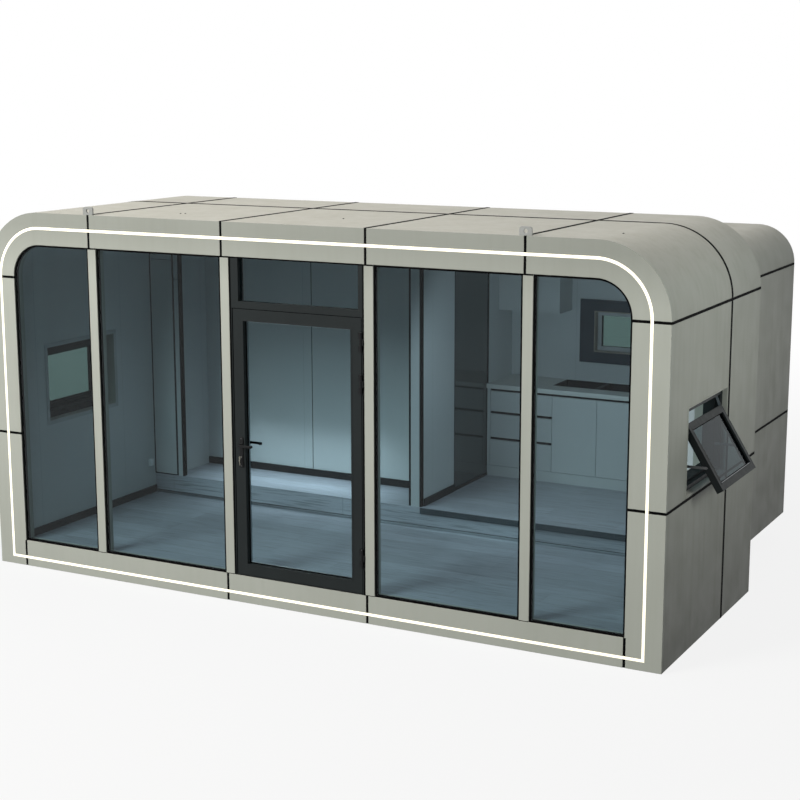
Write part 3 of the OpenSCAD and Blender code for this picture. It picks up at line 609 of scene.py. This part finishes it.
def sealRoofJoints(plan):
    # flat sealant over the joints of the flat part of the front roof
    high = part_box("front_roof_panels")[1]
    half, cross = plan["width"] / 2, faceY + plan["cross"]
    foot, top = high[2] - lap, high[2] + plan["proud"]
    strips = [bar((x - half, faceY + plan["front"], foot), (x + half, high[1] - 2 * mm, top), 1 * mm)
              for x in jointsX]
    reach = jointsX[-1] + plan["crossPast"]
    strips.append(bar((-reach, cross - plan["crossWidth"] / 2, foot),
                      (reach, cross + plan["crossWidth"] / 2, top - 0.2 * mm), 1 * mm))
    finished(joined(strips), "roofJointSealant", "house", "seal")


sealRoofJoints(roofJoint)

jambSeal = {"width": 15 * mm, "proud": 2.5 * mm}


def makeJambSeals(plan):
    # sealant down both sides, between the mullions and the door frame
    low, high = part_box("door_frame")
    strips = []
    for x0, x1 in ((low[0], low[0] + plan["width"]), (high[0] - plan["width"], high[0])):
        strips.append(bar((x0, low[1] - plan["proud"], low[2]), (x1, low[1] + lap, high[2]), 1 * mm))
    finished(joined(strips), "jambSealant", "house", "seal")


makeJambSeals(jambSeal)

headSeal = {"shift": 24 * mm, "half": 38 * mm, "tall": 11 * mm, "proud": 1.2 * mm, "doorProud": 2 * mm}


def makeHeadSeals(plan):
    # black bedding joint at the head and foot of every mullion, and over the transom pane
    low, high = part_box("mullions")
    strips = []
    for x in [joint + plan["shift"] for joint in jointsX]:
        for z0, z1 in ((high[2] - plan["tall"], high[2]), (low[2], low[2] + plan["tall"] / 2)):
            strips.append(bar((x - plan["half"], low[1] - plan["proud"], z0),
                              (x + plan["half"], low[1] + lap, z1), 0.6 * mm))
    doorLow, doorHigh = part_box("door_frame")
    strips.append(bar((doorLow[0], doorLow[1] - plan["doorProud"], doorHigh[2] - plan["tall"]),
                      (doorHigh[0], doorLow[1] + lap, doorHigh[2]), 0.6 * mm))
    finished(joined(strips), "headSealant", "house", "seal")


makeHeadSeals(headSeal)

leafGlazing = {"bead": 15 * mm, "proud": 1.4 * mm, "sunk": 0.3 * mm, "gasket": 5 * mm,
               "gasketOff": (0.4 * mm, 5 * mm), "spacer": 4 * mm, "spacerIn": 4 * mm}


def glazeDoor(plan):
    # pressed bead round the opening of the leaf, gaskets on both faces of the pane, spacer in it
    low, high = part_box("door_glass")
    leafFront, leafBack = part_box("door_leaf")[0][1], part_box("door_leaf")[1][1]
    out, inward, sunk = plan["bead"], plan["gasket"], plan["sunk"]
    near, far = plan["gasketOff"]
    beads = [ring((low[0] - out, y0, low[2] - out), (high[0] + out, y1, high[2] + out), out - lap)
             for y0, y1 in ((leafFront - plan["proud"], leafFront + sunk),
                            (leafBack - sunk, leafBack + plan["proud"]))]
    finished(joined(beads), "leafBeads", "door", "dark_frame")
    gaskets = [ring((low[0], y0, low[2]), (high[0], y1, high[2]), inward)
               for y0, y1 in ((low[1] - far, low[1] - near), (high[1] + near, high[1] + far))]
    finished(joined(gaskets), "leafGaskets", "door", "seal")
    spacer = ring((low[0] + inward, low[1] + plan["spacerIn"], low[2] + inward),
                  (high[0] - inward, high[1] - plan["spacerIn"], high[2] - inward), plan["spacer"])
    finished(spacer, "leafSpacer", "door", "steel", spacerMetal)


glazeDoor(leafGlazing)

leverPlan = {"spindle": 6.5 * mm, "past": 3 * mm, "neck": 9.5 * mm, "grip": 19 * mm, "thick": 12 * mm,
             "before": 9 * mm, "tip": 11 * mm, "return": 17 * mm, "edge": 3 * mm}


def makeLevers(plan):
    # flat lever handles with a return at the end, one each side, on one spindle
    low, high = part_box("door_lever")
    joint = next(j for j in frame["record"]["behaviour"]["joints"] if j["name"] == "lever_turn")
    axisX, axisZ = joint["pos_m"][0], joint["pos_m"][2]
    plateFront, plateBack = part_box("lock_plates")[0][1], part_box("lock_plates")[1][1]
    parts = [turned((axisX, (plateFront + plateBack) / 2, axisZ), plan["spindle"],
                    plateBack - plateFront + 2 * plan["past"], "Y")]
    start, seam, half = axisX - plan["before"], high[0] - plan["before"], plan["grip"] / 2
    for outer, plate, way in ((low[1], plateFront, 1), (high[1], plateBack, -1)):
        inner = outer + way * plan["thick"]
        parts.append(turned((axisX, (inner + plate) / 2 - way * lap, axisZ), plan["neck"],
                            abs(plate - inner) - lap, "Y", 32, 1 * mm))
        near, far = sorted((outer, inner))
        grip = block((start, near, axisZ - half), (seam, far, axisZ + half))
        editFaces(grip, lambda face: face.normal.x > 0.9)
        bpy.ops.mesh.extrude_region_move(TRANSFORM_OT_translate={"value": (plan["tip"], 0, 0)})
        objectMode()
        editFaces(grip, lambda face: face.normal.y * way > 0.9 and face.center.x > seam)
        bpy.ops.mesh.extrude_region_move(TRANSFORM_OT_translate={"value": (0, way * plan["return"], 0)})
        facesOut()
        parts.append(rounded(grip, plan["edge"], 3))
    levers = finished(joined(parts), "leverHandles", "lever", "black_metal")
    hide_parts("door_lever")


makeLevers(leverPlan)

# rose, collar, core and screw as radius, depth and height of the middle above the leaf
lockPlan = {"thick": 8 * mm, "edge": 2.2 * mm, "cylinderDrop": 95 * mm, "screwInset": 11 * mm,
            "rose": (14.5 * mm, 2.4 * mm, 9 * mm), "collar": (12.5 * mm, 3.2 * mm, 9.6 * mm),
            "core": (7.5 * mm, 3 * mm, 10.4 * mm), "screw": (3.4 * mm, 1.4 * mm, 8 * mm),
            "keyOut": 12 * mm}


def makeLockPlates(plan):
    # long plates with eased edges, the lever's rose, two screws each, and the lock cylinder
    low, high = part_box("lock_plates")
    leafFront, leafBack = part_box("door_leaf")[0][1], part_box("door_leaf")[1][1]
    axisZ = (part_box("door_lever")[0][2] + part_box("door_lever")[1][2]) / 2
    middle = (low[0] + high[0]) / 2
    keyZ = axisZ - plan["cylinderDrop"]
    plates, steel = [], []
    for face, outward in ((leafFront, -1), (leafBack, 1)):
        near, far = sorted((face, face + outward * plan["thick"]))
        plates.append(bar((low[0], near, low[2]), (high[0], far, high[2]), plan["edge"], 3))
        plates.append(fitting((middle, face, axisZ), plan["rose"], 40, axis="Y", way=outward))
        plates.append(fitting((middle, face, keyZ), plan["collar"], 40, axis="Y", way=outward))
        steel.append(fitting((middle, face, keyZ), plan["core"], 40, axis="Y", way=outward))
        for z in (low[2] + plan["screwInset"], high[2] - plan["screwInset"]):
            steel.append(fitting((middle, face, z), plan["screw"], 24, axis="Y", way=outward))
    plates = finished(joined(plates), "lockPlates", "door", "black_metal")
    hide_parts("lock_plates")
    finished(joined(steel), "lockCylinder", "door", "steel")
    return middle, leafFront - plan["keyOut"], keyZ


lockPlace = makeLockPlates(lockPlan)

keyPlan = {"bow": 11 * mm, "hole": 4 * mm, "thick": 2.2 * mm, "edge": 0.5 * mm, "root": 0.8,
           "blade": 24 * mm, "bladeHalf": 3.4 * mm, "bit": 5.2 * mm, "bitShare": 0.45, "bowOut": 6 * mm,
           "ring": 11 * mm, "wire": 0.9 * mm, "ringBack": 4 * mm, "ringUp": 2 * mm, "ringTurn": 18,
           "spareOff": (-1 * mm, -6 * mm, -3 * mm), "spareLean": 12, "spareTurn": 28}


def makeKey(plan):
    # a key that hangs down its own Z: a bow with a hole, and a stepped blade
    bow = disc((0, 0, 0), plan["bow"], plan["thick"], "X", 24)
    editFaces(bow, lambda face: abs(face.normal.x) > 0.9)
    bpy.ops.mesh.inset(thickness=plan["bow"] - plan["hole"])
    bpy.ops.mesh.bridge_edge_loops()
    objectMode()
    bow = rounded(bow, plan["edge"], 2)
    half, wide, foot = plan["thick"] / 2, plan["bladeHalf"], -plan["bow"] * plan["root"]
    blade = bar((-half, -wide, -plan["bow"] - plan["blade"]), (half, wide, foot), plan["edge"], 2)
    step = bar((-half, 0, -plan["bow"] - plan["blade"] * plan["bitShare"]), (half, plan["bit"], foot),
               plan["edge"], 2)
    return joined([bow, blade, step])


def makeKeys(plan, place):
    # one key in the lock, its ring through the bow, and a spare hanging on the ring
    inLock = makeKey(plan)
    spare = copied(inLock)
    x, y, z = place
    bowY = y - plan["bow"] - plan["bowOut"]
    placed(inLock, Matrix.Translation((x, bowY, z)) @ Matrix.Rotation(math.radians(90), 4, "X"))
    deselectAll()
    bpy.ops.mesh.primitive_torus_add(major_radius=plan["ring"], minor_radius=plan["wire"],
                                     major_segments=40, minor_segments=10,
                                     location=(x, bowY - plan["ringBack"],
                                               z - plan["ring"] + plan["ringUp"]),
                                     rotation=(0, math.pi / 2, math.radians(plan["ringTurn"])))
    loop = bpy.context.active_object
    settle()
    offX, offY, offZ = plan["spareOff"]
    placed(spare, Matrix.Translation((x + offX, bowY + offY, z - 2 * plan["ring"] + offZ))
           @ Matrix.Rotation(math.radians(plan["spareLean"]), 4, "X")
           @ Matrix.Rotation(math.radians(plan["spareTurn"]), 4, "Z"))
    finished(joined([inLock, loop, spare]), "doorKeys", "door", "steel", keyMetal)


makeKeys(keyPlan, lockPlace)

hingeTrim = {"feet": (0.43, 1.745, 2.055), "tall": 0.14, "radius": 8.4 * mm, "cap": 3 * mm,
             "sunk": 1 * mm, "axisIn": 9 * mm}


def makeHingeTrim(plan):
    # steel caps over both ends of every hinge pin
    low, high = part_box("leaf_hinges")
    axisX = (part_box("frame_hinges")[0][0] + high[0]) / 2
    axisY = low[1] + plan["axisIn"]
    caps = []
    for foot in plan["feet"]:
        for z in (foot + plan["sunk"], foot + plan["tall"] - plan["sunk"]):
            caps.append(turned((axisX, axisY, z), plan["radius"], plan["cap"], "Z", 24, 1.2 * mm))
    finished(joined(caps), "hingeCaps", "door", "steel")


makeHingeTrim(hingeTrim)
print("door fitted out")

sashBead = {"member": 52 * mm, "bead": 11 * mm, "proud": 1.2 * mm, "sunk": 0.3 * mm, "glass": 16 * mm,
            "gasket": 7 * mm, "gasketOff": (0.4 * mm, 5 * mm), "drip": 3.5 * mm}
# corners of the handle's parts, from the middle of the foot of the sash's inner face
sashHandle = {"plate": ((-6 * mm, -26 * mm, 14 * mm), (0, 26 * mm, 40 * mm)), "plateEdge": 2 * mm,
              "grip": ((-30 * mm, -20 * mm, 18 * mm), (-22 * mm, 90 * mm, 36 * mm)), "gripEdge": 3 * mm,
              "neck": (-14 * mm, -12 * mm, 27 * mm), "neckRadius": 7 * mm, "neckLength": 22 * mm}


def measureSashes():
    # size of a sash from the shut one, and where the open and the shut one stand
    points = [v.co for v in nodes["window_sashes"].data.vertices]
    shut = [p for p in points if p.x < 0]
    opened = [p for p in points if p.x > 0]
    low = [min(p[i] for p in shut) for i in range(3)]
    high = [max(p[i] for p in shut) for i in range(3)]
    top = max(opened, key=lambda p: p.z)
    foot = max(opened, key=lambda p: p.x)
    angle = math.atan2(foot.x - top.x, top.z - foot.z)
    size = [b - a for a, b in zip(low, high)]
    onRight = (Matrix.Translation((top.x, min(p.y for p in opened), top.z))
               @ Matrix.Rotation(-angle, 4, "Y"))
    onLeft = Matrix.Translation((low[0], high[1], high[2])) @ Matrix.Rotation(math.pi, 4, "Z")
    return size, onRight, onLeft


def sashParts(size, plan, handle):
    # parts of one sash: X goes out of its face, Y along it, Z down from its top
    thick, wide, tall = size
    edge, bead, sunk = plan["member"], plan["bead"], plan["sunk"]
    front = -(thick - plan["glass"]) / 2
    back = front - plan["glass"]
    near, far = plan["gasketOff"]
    beads = [ring((x0, edge - bead, edge - bead - tall), (x1, wide - edge + bead, bead - edge), bead, "X")
             for x0, x1 in ((-sunk, plan["proud"]), (-thick - plan["proud"], sunk - thick))]
    gaskets = [ring((x0, edge, edge - tall), (x1, wide - edge, -edge), plan["gasket"], "X")
               for x0, x1 in ((front + near, front + far), (back - far, back - near))]
    drip = bar((front + far, edge, edge - tall), (-lap, wide - edge, edge - tall + plan["drip"]),
               1 * mm)

    def onHandle(spot):
        return [start + step for start, step in zip((-thick, wide / 2, -tall), spot)]

    plate = bar(*map(onHandle, handle["plate"]), handle["plateEdge"], 2)
    neck = turned(onHandle(handle["neck"]), handle["neckRadius"], handle["neckLength"], "X")
    grip = bar(*map(onHandle, handle["grip"]), handle["gripEdge"], 3)
    return ((joined(beads), "Beads", "dark_frame"), (joined(gaskets), "Gaskets", "seal"),
            (drip, "DripBead", "steel"), (joined([plate, neck, grip]), "Handle", "black_metal"))


def dressSashes(plan, handle):
    size, onRight, onLeft = measureSashes()
    for part, name, slot in sashParts(size, plan, handle):
        material = spacerMetal if slot == "steel" else finishes[slot]
        twin = copied(part)
        finished(placed(part, onRight), "rightSash" + name, "house", slot, material)
        finished(placed(twin, onLeft), "leftSash" + name, "house", slot, material)
    return onRight


openSash = dressSashes(sashBead, sashHandle)

stayPlan = {"frameX": 2.845, "feet": (1.360, 1.712), "down": (0.330, 0.060), "back": 25 * mm,
            "rivet": 6 * mm, "arm": 6 * mm, "domes": 3 * mm, "edge": 1.2 * mm}


def makeStayRivets(plan, place):
    # domed rivets at both ends of the arms that hold the open sash; place is that sash's matrix
    low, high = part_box("window_stays")
    rivets = []
    for y in (low[1] + plan["arm"] / 2, high[1] - plan["arm"] / 2):
        spots = [Vector((plan["frameX"], y, z)) for z in plan["feet"]]
        spots += [place @ Vector((-plan["back"], 0, -down)) for down in plan["down"]]
        for spot in spots:
            rivets.append(turned((spot.x, y, spot.z), plan["rivet"], plan["arm"] + plan["domes"], "Y", 24,
                                 plan["edge"]))
    finished(joined(rivets), "stayRivets", "house", "steel")


makeStayRivets(stayPlan, openSash)

architrave = {"width": 34 * mm, "overlap": 26 * mm, "proud": 5 * mm, "edge": 1.5 * mm}


def makeArchitraves(plan):
    # pale trim round both side windows on the inside of the room
    low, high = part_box("window_surrounds")
    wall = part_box("skirting")[1][0]
    trims = []
    for x0, x1 in ((-wall, plan["proud"] - wall), (wall - plan["proud"], wall)):
        trims.append(ring((x0, low[1] - plan["overlap"], low[2] - plan["overlap"]),
                          (x1, high[1] + plan["overlap"], high[2] + plan["overlap"]), plan["width"], "X",
                          plan["edge"]))
    finished(joined(trims), "windowArchitraves", "house", "lining", paleTrim)


makeArchitraves(architrave)
print("windows fitted out")

# washer and head: radius, depth, and height of the middle above the panels
roofScrew = {"places": ((-1.295, -0.604), (-1.261, -0.587), (0.087, -0.433), (2.392, -0.590)),
             "washer": (8 * mm, 2 * mm, 0.8 * mm), "head": (5 * mm, 4 * mm, 2.4 * mm)}


def makeRoofScrews(plan):
    # pan-head screws on rubber washers, where the panels are fixed down
    foot = (0, 0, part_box("front_roof_panels")[1][2])
    screw = joined([fitting(foot, plan["washer"], 24, 0.6 * mm),
                    fitting(foot, plan["head"], 20, 1.4 * mm)])
    screws = [screw] + [copied(screw) for _ in plan["places"][1:]]
    for item, (x, y) in zip(screws, plan["places"]):
        placed(item, Matrix.Translation((x, y, 0)))
    finished(joined(screws), "roofScrews", "house", "black_metal")


makeRoofScrews(roofScrew)

lugPlan = {"half": 45.5 * mm, "weld": 5 * mm}


def makeLugWelds(plan):
    # weld beads along the feet of the lugs, which stand over the outermost joints
    low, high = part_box("lifting_lugs")
    welds = []
    for x in (jointsX[0], jointsX[-1]):
        welds.append(bar((x - plan["half"], high[1] - lap, low[2]),
                         (x + plan["half"], high[1] + plan["weld"], low[2] + plan["weld"]), 2 * mm, 2))
    finished(joined(welds), "lugWelds", "house", "lug_paint")


makeLugWelds(lugPlan)

# washer, nut and stud: radius, depth, and height of the middle above the plate
footBolt = {"feet": (-1.85, 0.0, 1.85), "inset": 24 * mm, "plate": 12 * mm,
            "washer": (16 * mm, 2.6 * mm, 1.2 * mm), "nut": (12 * mm, 12 * mm, 8 * mm),
            "stud": (7 * mm, 14 * mm, 16 * mm)}


def makeFootBolts(plan):
    # anchor bolts in the corners of the base plates
    low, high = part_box("rear_feet")
    foot = (0, 0, plan["plate"])
    bolt = joined([fitting(foot, plan["washer"], 24), fitting(foot, plan["nut"], 6, 1 * mm),
                   fitting(foot, plan["stud"], 20)])
    middle = (low[1] + high[1]) / 2
    reach = (high[1] - low[1]) / 2 - plan["inset"]
    bolts = []
    for x in plan["feet"]:
        for dx in (-reach, reach):
            for dy in (-reach, reach):
                bolts.append(placed(copied(bolt), Matrix.Translation((x + dx, middle + dy, 0))))
    pick(bolt)
    bpy.ops.object.delete()
    finished(joined(bolts), "footBolts", "house", "steel")


makeFootBolts(footBolt)
print("roof and feet fitted out")

stepFoot = {"tall": 22 * mm, "thick": 7 * mm, "line": 4 * mm, "endGap": 13 * mm}


def makeStepFoot(plan):
    # pale metal strip along the foot of the step, with a black line over it
    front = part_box("rear_floor")[0][1]
    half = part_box("skirting")[1][0] - plan["endGap"]
    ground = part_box("front_base")[1][2]
    strip = bar((-half, front - plan["thick"], ground), (half, front, ground + plan["tall"]), 2 * mm, 2)
    finished(strip, "stepFootStrip", "house", "steel", spacerMetal)
    line = bar((-half, front - plan["thick"] / 2, ground + plan["tall"]),
               (half, front, ground + plan["tall"] + plan["line"]), 1 * mm)
    finished(line, "stepFootLine", "house", "seal")


makeStepFoot(stepFoot)

closetJoint = {"x": -1.305, "half": 3.5 * mm, "proud": 0.6 * mm, "skirting": 70 * mm}


def makeClosetJoint(plan):
    # dark cover strip in the upright joint of the closet wall
    low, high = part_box("closet_wall")
    strip = bar((plan["x"] - plan["half"], low[1] - plan["proud"], low[2] + plan["skirting"]),
                (plan["x"] + plan["half"], low[1] + 3 * mm, high[2]), 0.5 * mm)
    finished(strip, "closetJointStrip", "house", "seal")


makeClosetJoint(closetJoint)

wallBox = {"place": (-2.672, 0.741, 0.508), "half": (24 * mm, 32 * mm), "deep": 30 * mm, "step": 4 * mm}


def makeWallBox(plan):
    # small pale outlet box with a stepped lid
    x, y, z = plan["place"]
    halfY, halfZ = plan["half"]
    front, step = x + plan["deep"], plan["step"]
    base = bar((x, y - halfY, z - halfZ), (front, y + halfY, z + halfZ), 3 * mm, 3)
    lid = bar((front - lap, y - halfY + step, z - halfZ + step),
              (front + step, y + halfY - step, z + halfZ - step), 2 * mm, 2)
    finished(joined([base, lid]), "wallBox", "house", "lining", outletPlastic)


makeWallBox(wallBox)

strainer = {"bowls": ((0.8725, 2.51), (1.25, 2.51)), "bowlFloor": 5 * mm, "radius": 42 * mm,
            "depth": 4 * mm, "rim": 8 * mm, "dish": 2.5 * mm, "hub": (9 * mm, 6 * mm, 4 * mm)}


def makeStrainers(plan):
    # dished steel strainers in the bottoms of both bowls
    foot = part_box("sink")[0][2] + plan["bowlFloor"]
    dish = disc((0, 0, foot + plan["depth"] / 2), plan["radius"], plan["depth"], "Z", 40)
    editFaces(dish, lambda face: face.normal.z > 0.9)
    bpy.ops.mesh.inset(thickness=plan["rim"])
    bpy.ops.mesh.extrude_region_move(TRANSFORM_OT_translate={"value": (0, 0, -plan["dish"])})
    objectMode()
    cup = joined([rounded(dish, 0.8 * mm, 2), fitting((0, 0, foot), plan["hub"], 24, 1.5 * mm)])
    twin = copied(cup)
    for item, (x, y), name in zip((cup, twin), plan["bowls"], ("left", "right")):
        placed(item, Matrix.Translation((x, y, 0)))
        finished(item, name + "Strainer", "house", "steel", spacerMetal)


makeStrainers(strainer)

rearReveal = {"board": 10 * mm, "sides": 138 * mm, "ends": 100 * mm, "frameBack": 54 * mm,
              "frameDeep": 4 * mm, "frameWide": 38 * mm}
revealBoard = liningPanel("revealBoard", (0.30, 0.265, 0.215), 50.0)


def lineRearReveal(plan):
    # tan boards that line the opening of the rear window, and the pale inner face of its frame
    low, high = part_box("rear_window_frame")
    x0, x1 = low[0] + plan["sides"], high[0] - plan["sides"]
    z0, z1 = low[2] + plan["ends"], high[2] - plan["ends"]
    back, board = high[1] - plan["frameBack"], plan["board"]
    boards = ring((x0, low[1] + lap, z0), (x1, back, z1), board)
    finished(boards, "rearWindowReveal", "house", "lining", revealBoard)
    frameRing = ring((x0 + board, back - plan["frameDeep"], z0 + board), (x1 - board, back, z1 - board),
                     plan["frameWide"])
    finished(frameRing, "rearWindowInnerFace", "house", "dark_frame", paleTrim)


lineRearReveal(rearReveal)
print("rooms fitted out")

cameraPlace = {"position": (6.354, -11.358, 4.026), "down": 11.14, "left": 27.9, "roll": -0.1,
               "lens": 74.44, "sensor": 36.0, "clipEnd": 200}


def makeCamera(place):
    data = bpy.data.cameras.new("viewCamera")
    data.lens = place["lens"]
    data.sensor_width = place["sensor"]
    data.clip_end = place["clipEnd"]
    camera = bpy.data.objects.new("viewCamera", data)
    scene.collection.objects.link(camera)
    camera.location = place["position"]
    camera.rotation_euler = (math.radians(90 - place["down"]), 0, math.radians(place["left"]))
    camera.rotation_euler.rotate_axis("Z", math.radians(place["roll"]))
    scene.camera = camera


skyPlan = {"left": 0.42, "right": 0.0336, "fade": (0.3, 0.75), "color": (0.95, 0.99, 0.985)}

indoors = {"color": (0.86, 0.93, 1.0), "mirrored": False}  # the fill lamps inside the rooms
lamps = {
    "softKey": {"place": (-4.5, -10.5, 8.5), "aim": (0.2, -0.3, 1.6), "size": (5.0, 5.0), "power": 1690,
                "color": (1.0, 0.985, 0.95)},
    "softTop": {"place": (-2.2, 0.8, 7.5), "aim": (-2.0, 0.5, 2.9), "size": (4.0, 2.5), "power": 70,
                "color": (1.0, 0.95, 0.86)},
    "softSide": {"place": (7.2, -2.2, 3.7), "aim": (2.9, 0.3, 2.5), "size": (1.6, 1.6), "power": 24.5,
                 "color": (0.96, 1.0, 0.96), "spread": 80},
    "roomFill": {"place": (0.3, -0.2, 2.66), "aim": (0.3, -0.2, 0.0), "size": (4.4, 0.9), "power": 11.3,
                 "spread": 110, **indoors},
    "kitchenFill": {"place": (1.2, 0.4, 2.0), "aim": (1.3, 2.2, 0.7), "size": (1.6, 0.6), "power": 10.6,
                    "spread": 160, **indoors},
    "alcoveFill": {"place": (-1.25, 1.05, 1.15), "aim": (-1.25, 1.1, 0.4), "size": (1.6, 0.2),
                   "power": 5.5, "spread": 90, **indoors},
}

floorPlan = {"size": 80.0, "drop": 1 * mm, "grey": 0.11, "seen": 0.5, "nearShare": 0.86,
             "near": 4.5, "far": 13.0}


def backdropShare(tree):
    # rays that show the plain white backdrop: straight looks, mirrors and glass
    rays = add(tree, "ShaderNodeLightPath")
    seen = combine(tree, "MAXIMUM", rays.outputs["Is Camera Ray"], rays.outputs["Is Glossy Ray"])
    return combine(tree, "MAXIMUM", seen, rays.outputs["Is Transmission Ray"])


def makeWorld(plan):
    # soft sky, darker towards the right-hand side, and plain white as a backdrop
    world = bpy.data.worlds.new("softStudio")
    world.use_nodes = True
    tree = world.node_tree
    tree.nodes.clear()
    way = axesOf(tree, add(tree, "ShaderNodeTexCoord").outputs["Generated"])
    level = rerange(tree, way["X"], *plan["fade"], plan["left"], plan["right"])
    plain = add(tree, "ShaderNodeBackground", Color=(*plan["color"], 1))
    link(tree, level, plain.inputs["Strength"])
    white = add(tree, "ShaderNodeBackground", Color=(1, 1, 1, 1), Strength=1.0)
    blended(tree, backdropShare(tree), plain, white, "ShaderNodeOutputWorld")
    scene.world = world


def makeLamps(plans):
    # area lamps that the camera doesn't see; those indoors don't show in the glass either
    for name, plan in plans.items():
        data = bpy.data.lights.new(name, "AREA")
        data.energy = plan["power"]
        data.color = plan["color"]
        data.shape = "RECTANGLE"
        data.size, data.size_y = plan["size"]
        lamp = bpy.data.objects.new(name, data)
        lamp.location = plan["place"]
        way = Vector(plan["aim"]) - Vector(plan["place"])
        lamp.rotation_euler = way.to_track_quat("-Z", "Y").to_euler()
        lamp.visible_camera = False
        scene.collection.objects.link(lamp)
        data.spread = math.radians(plan.get("spread", 180))
        lamp.visible_glossy = plan.get("mirrored", True)


def makeFloor(plan):
    # pale floor: nearly white where it is seen, white far off, plain grey to every other ray
    deselectAll()
    bpy.ops.mesh.primitive_plane_add(size=plan["size"], location=(0, 0, -plan["drop"]))
    floor = bpy.context.active_object
    floor.name = "paleFloor"
    material, tree = nodeTree("paleFloor")
    place = add(tree, "ShaderNodeTexCoord")
    far = add(tree, "ShaderNodeVectorMath", operation="LENGTH")
    link(tree, place.outputs["Object"], far.inputs[0])
    share = rerange(tree, far.outputs["Value"], plan["near"], plan["far"], plan["nearShare"], 1.0)
    seen = backdropShare(tree)
    tone = rerange(tree, seen, 0.0, 1.0, plan["grey"], plan["seen"])
    shader = add(tree, "ShaderNodeBsdfDiffuse")
    link(tree, tone, shader.inputs["Color"])
    white = add(tree, "ShaderNodeEmission", Color=(1, 1, 1, 1), Strength=1.0)
    blended(tree, combine(tree, "MULTIPLY", seen, share), shader, white)
    floor.data.materials.append(material)


makeCamera(cameraPlace)
makeWorld(skyPlan)
makeLamps(lamps)
makeFloor(floorPlan)
scene.view_settings.view_transform = "Standard"
print("camera, light and floor set")
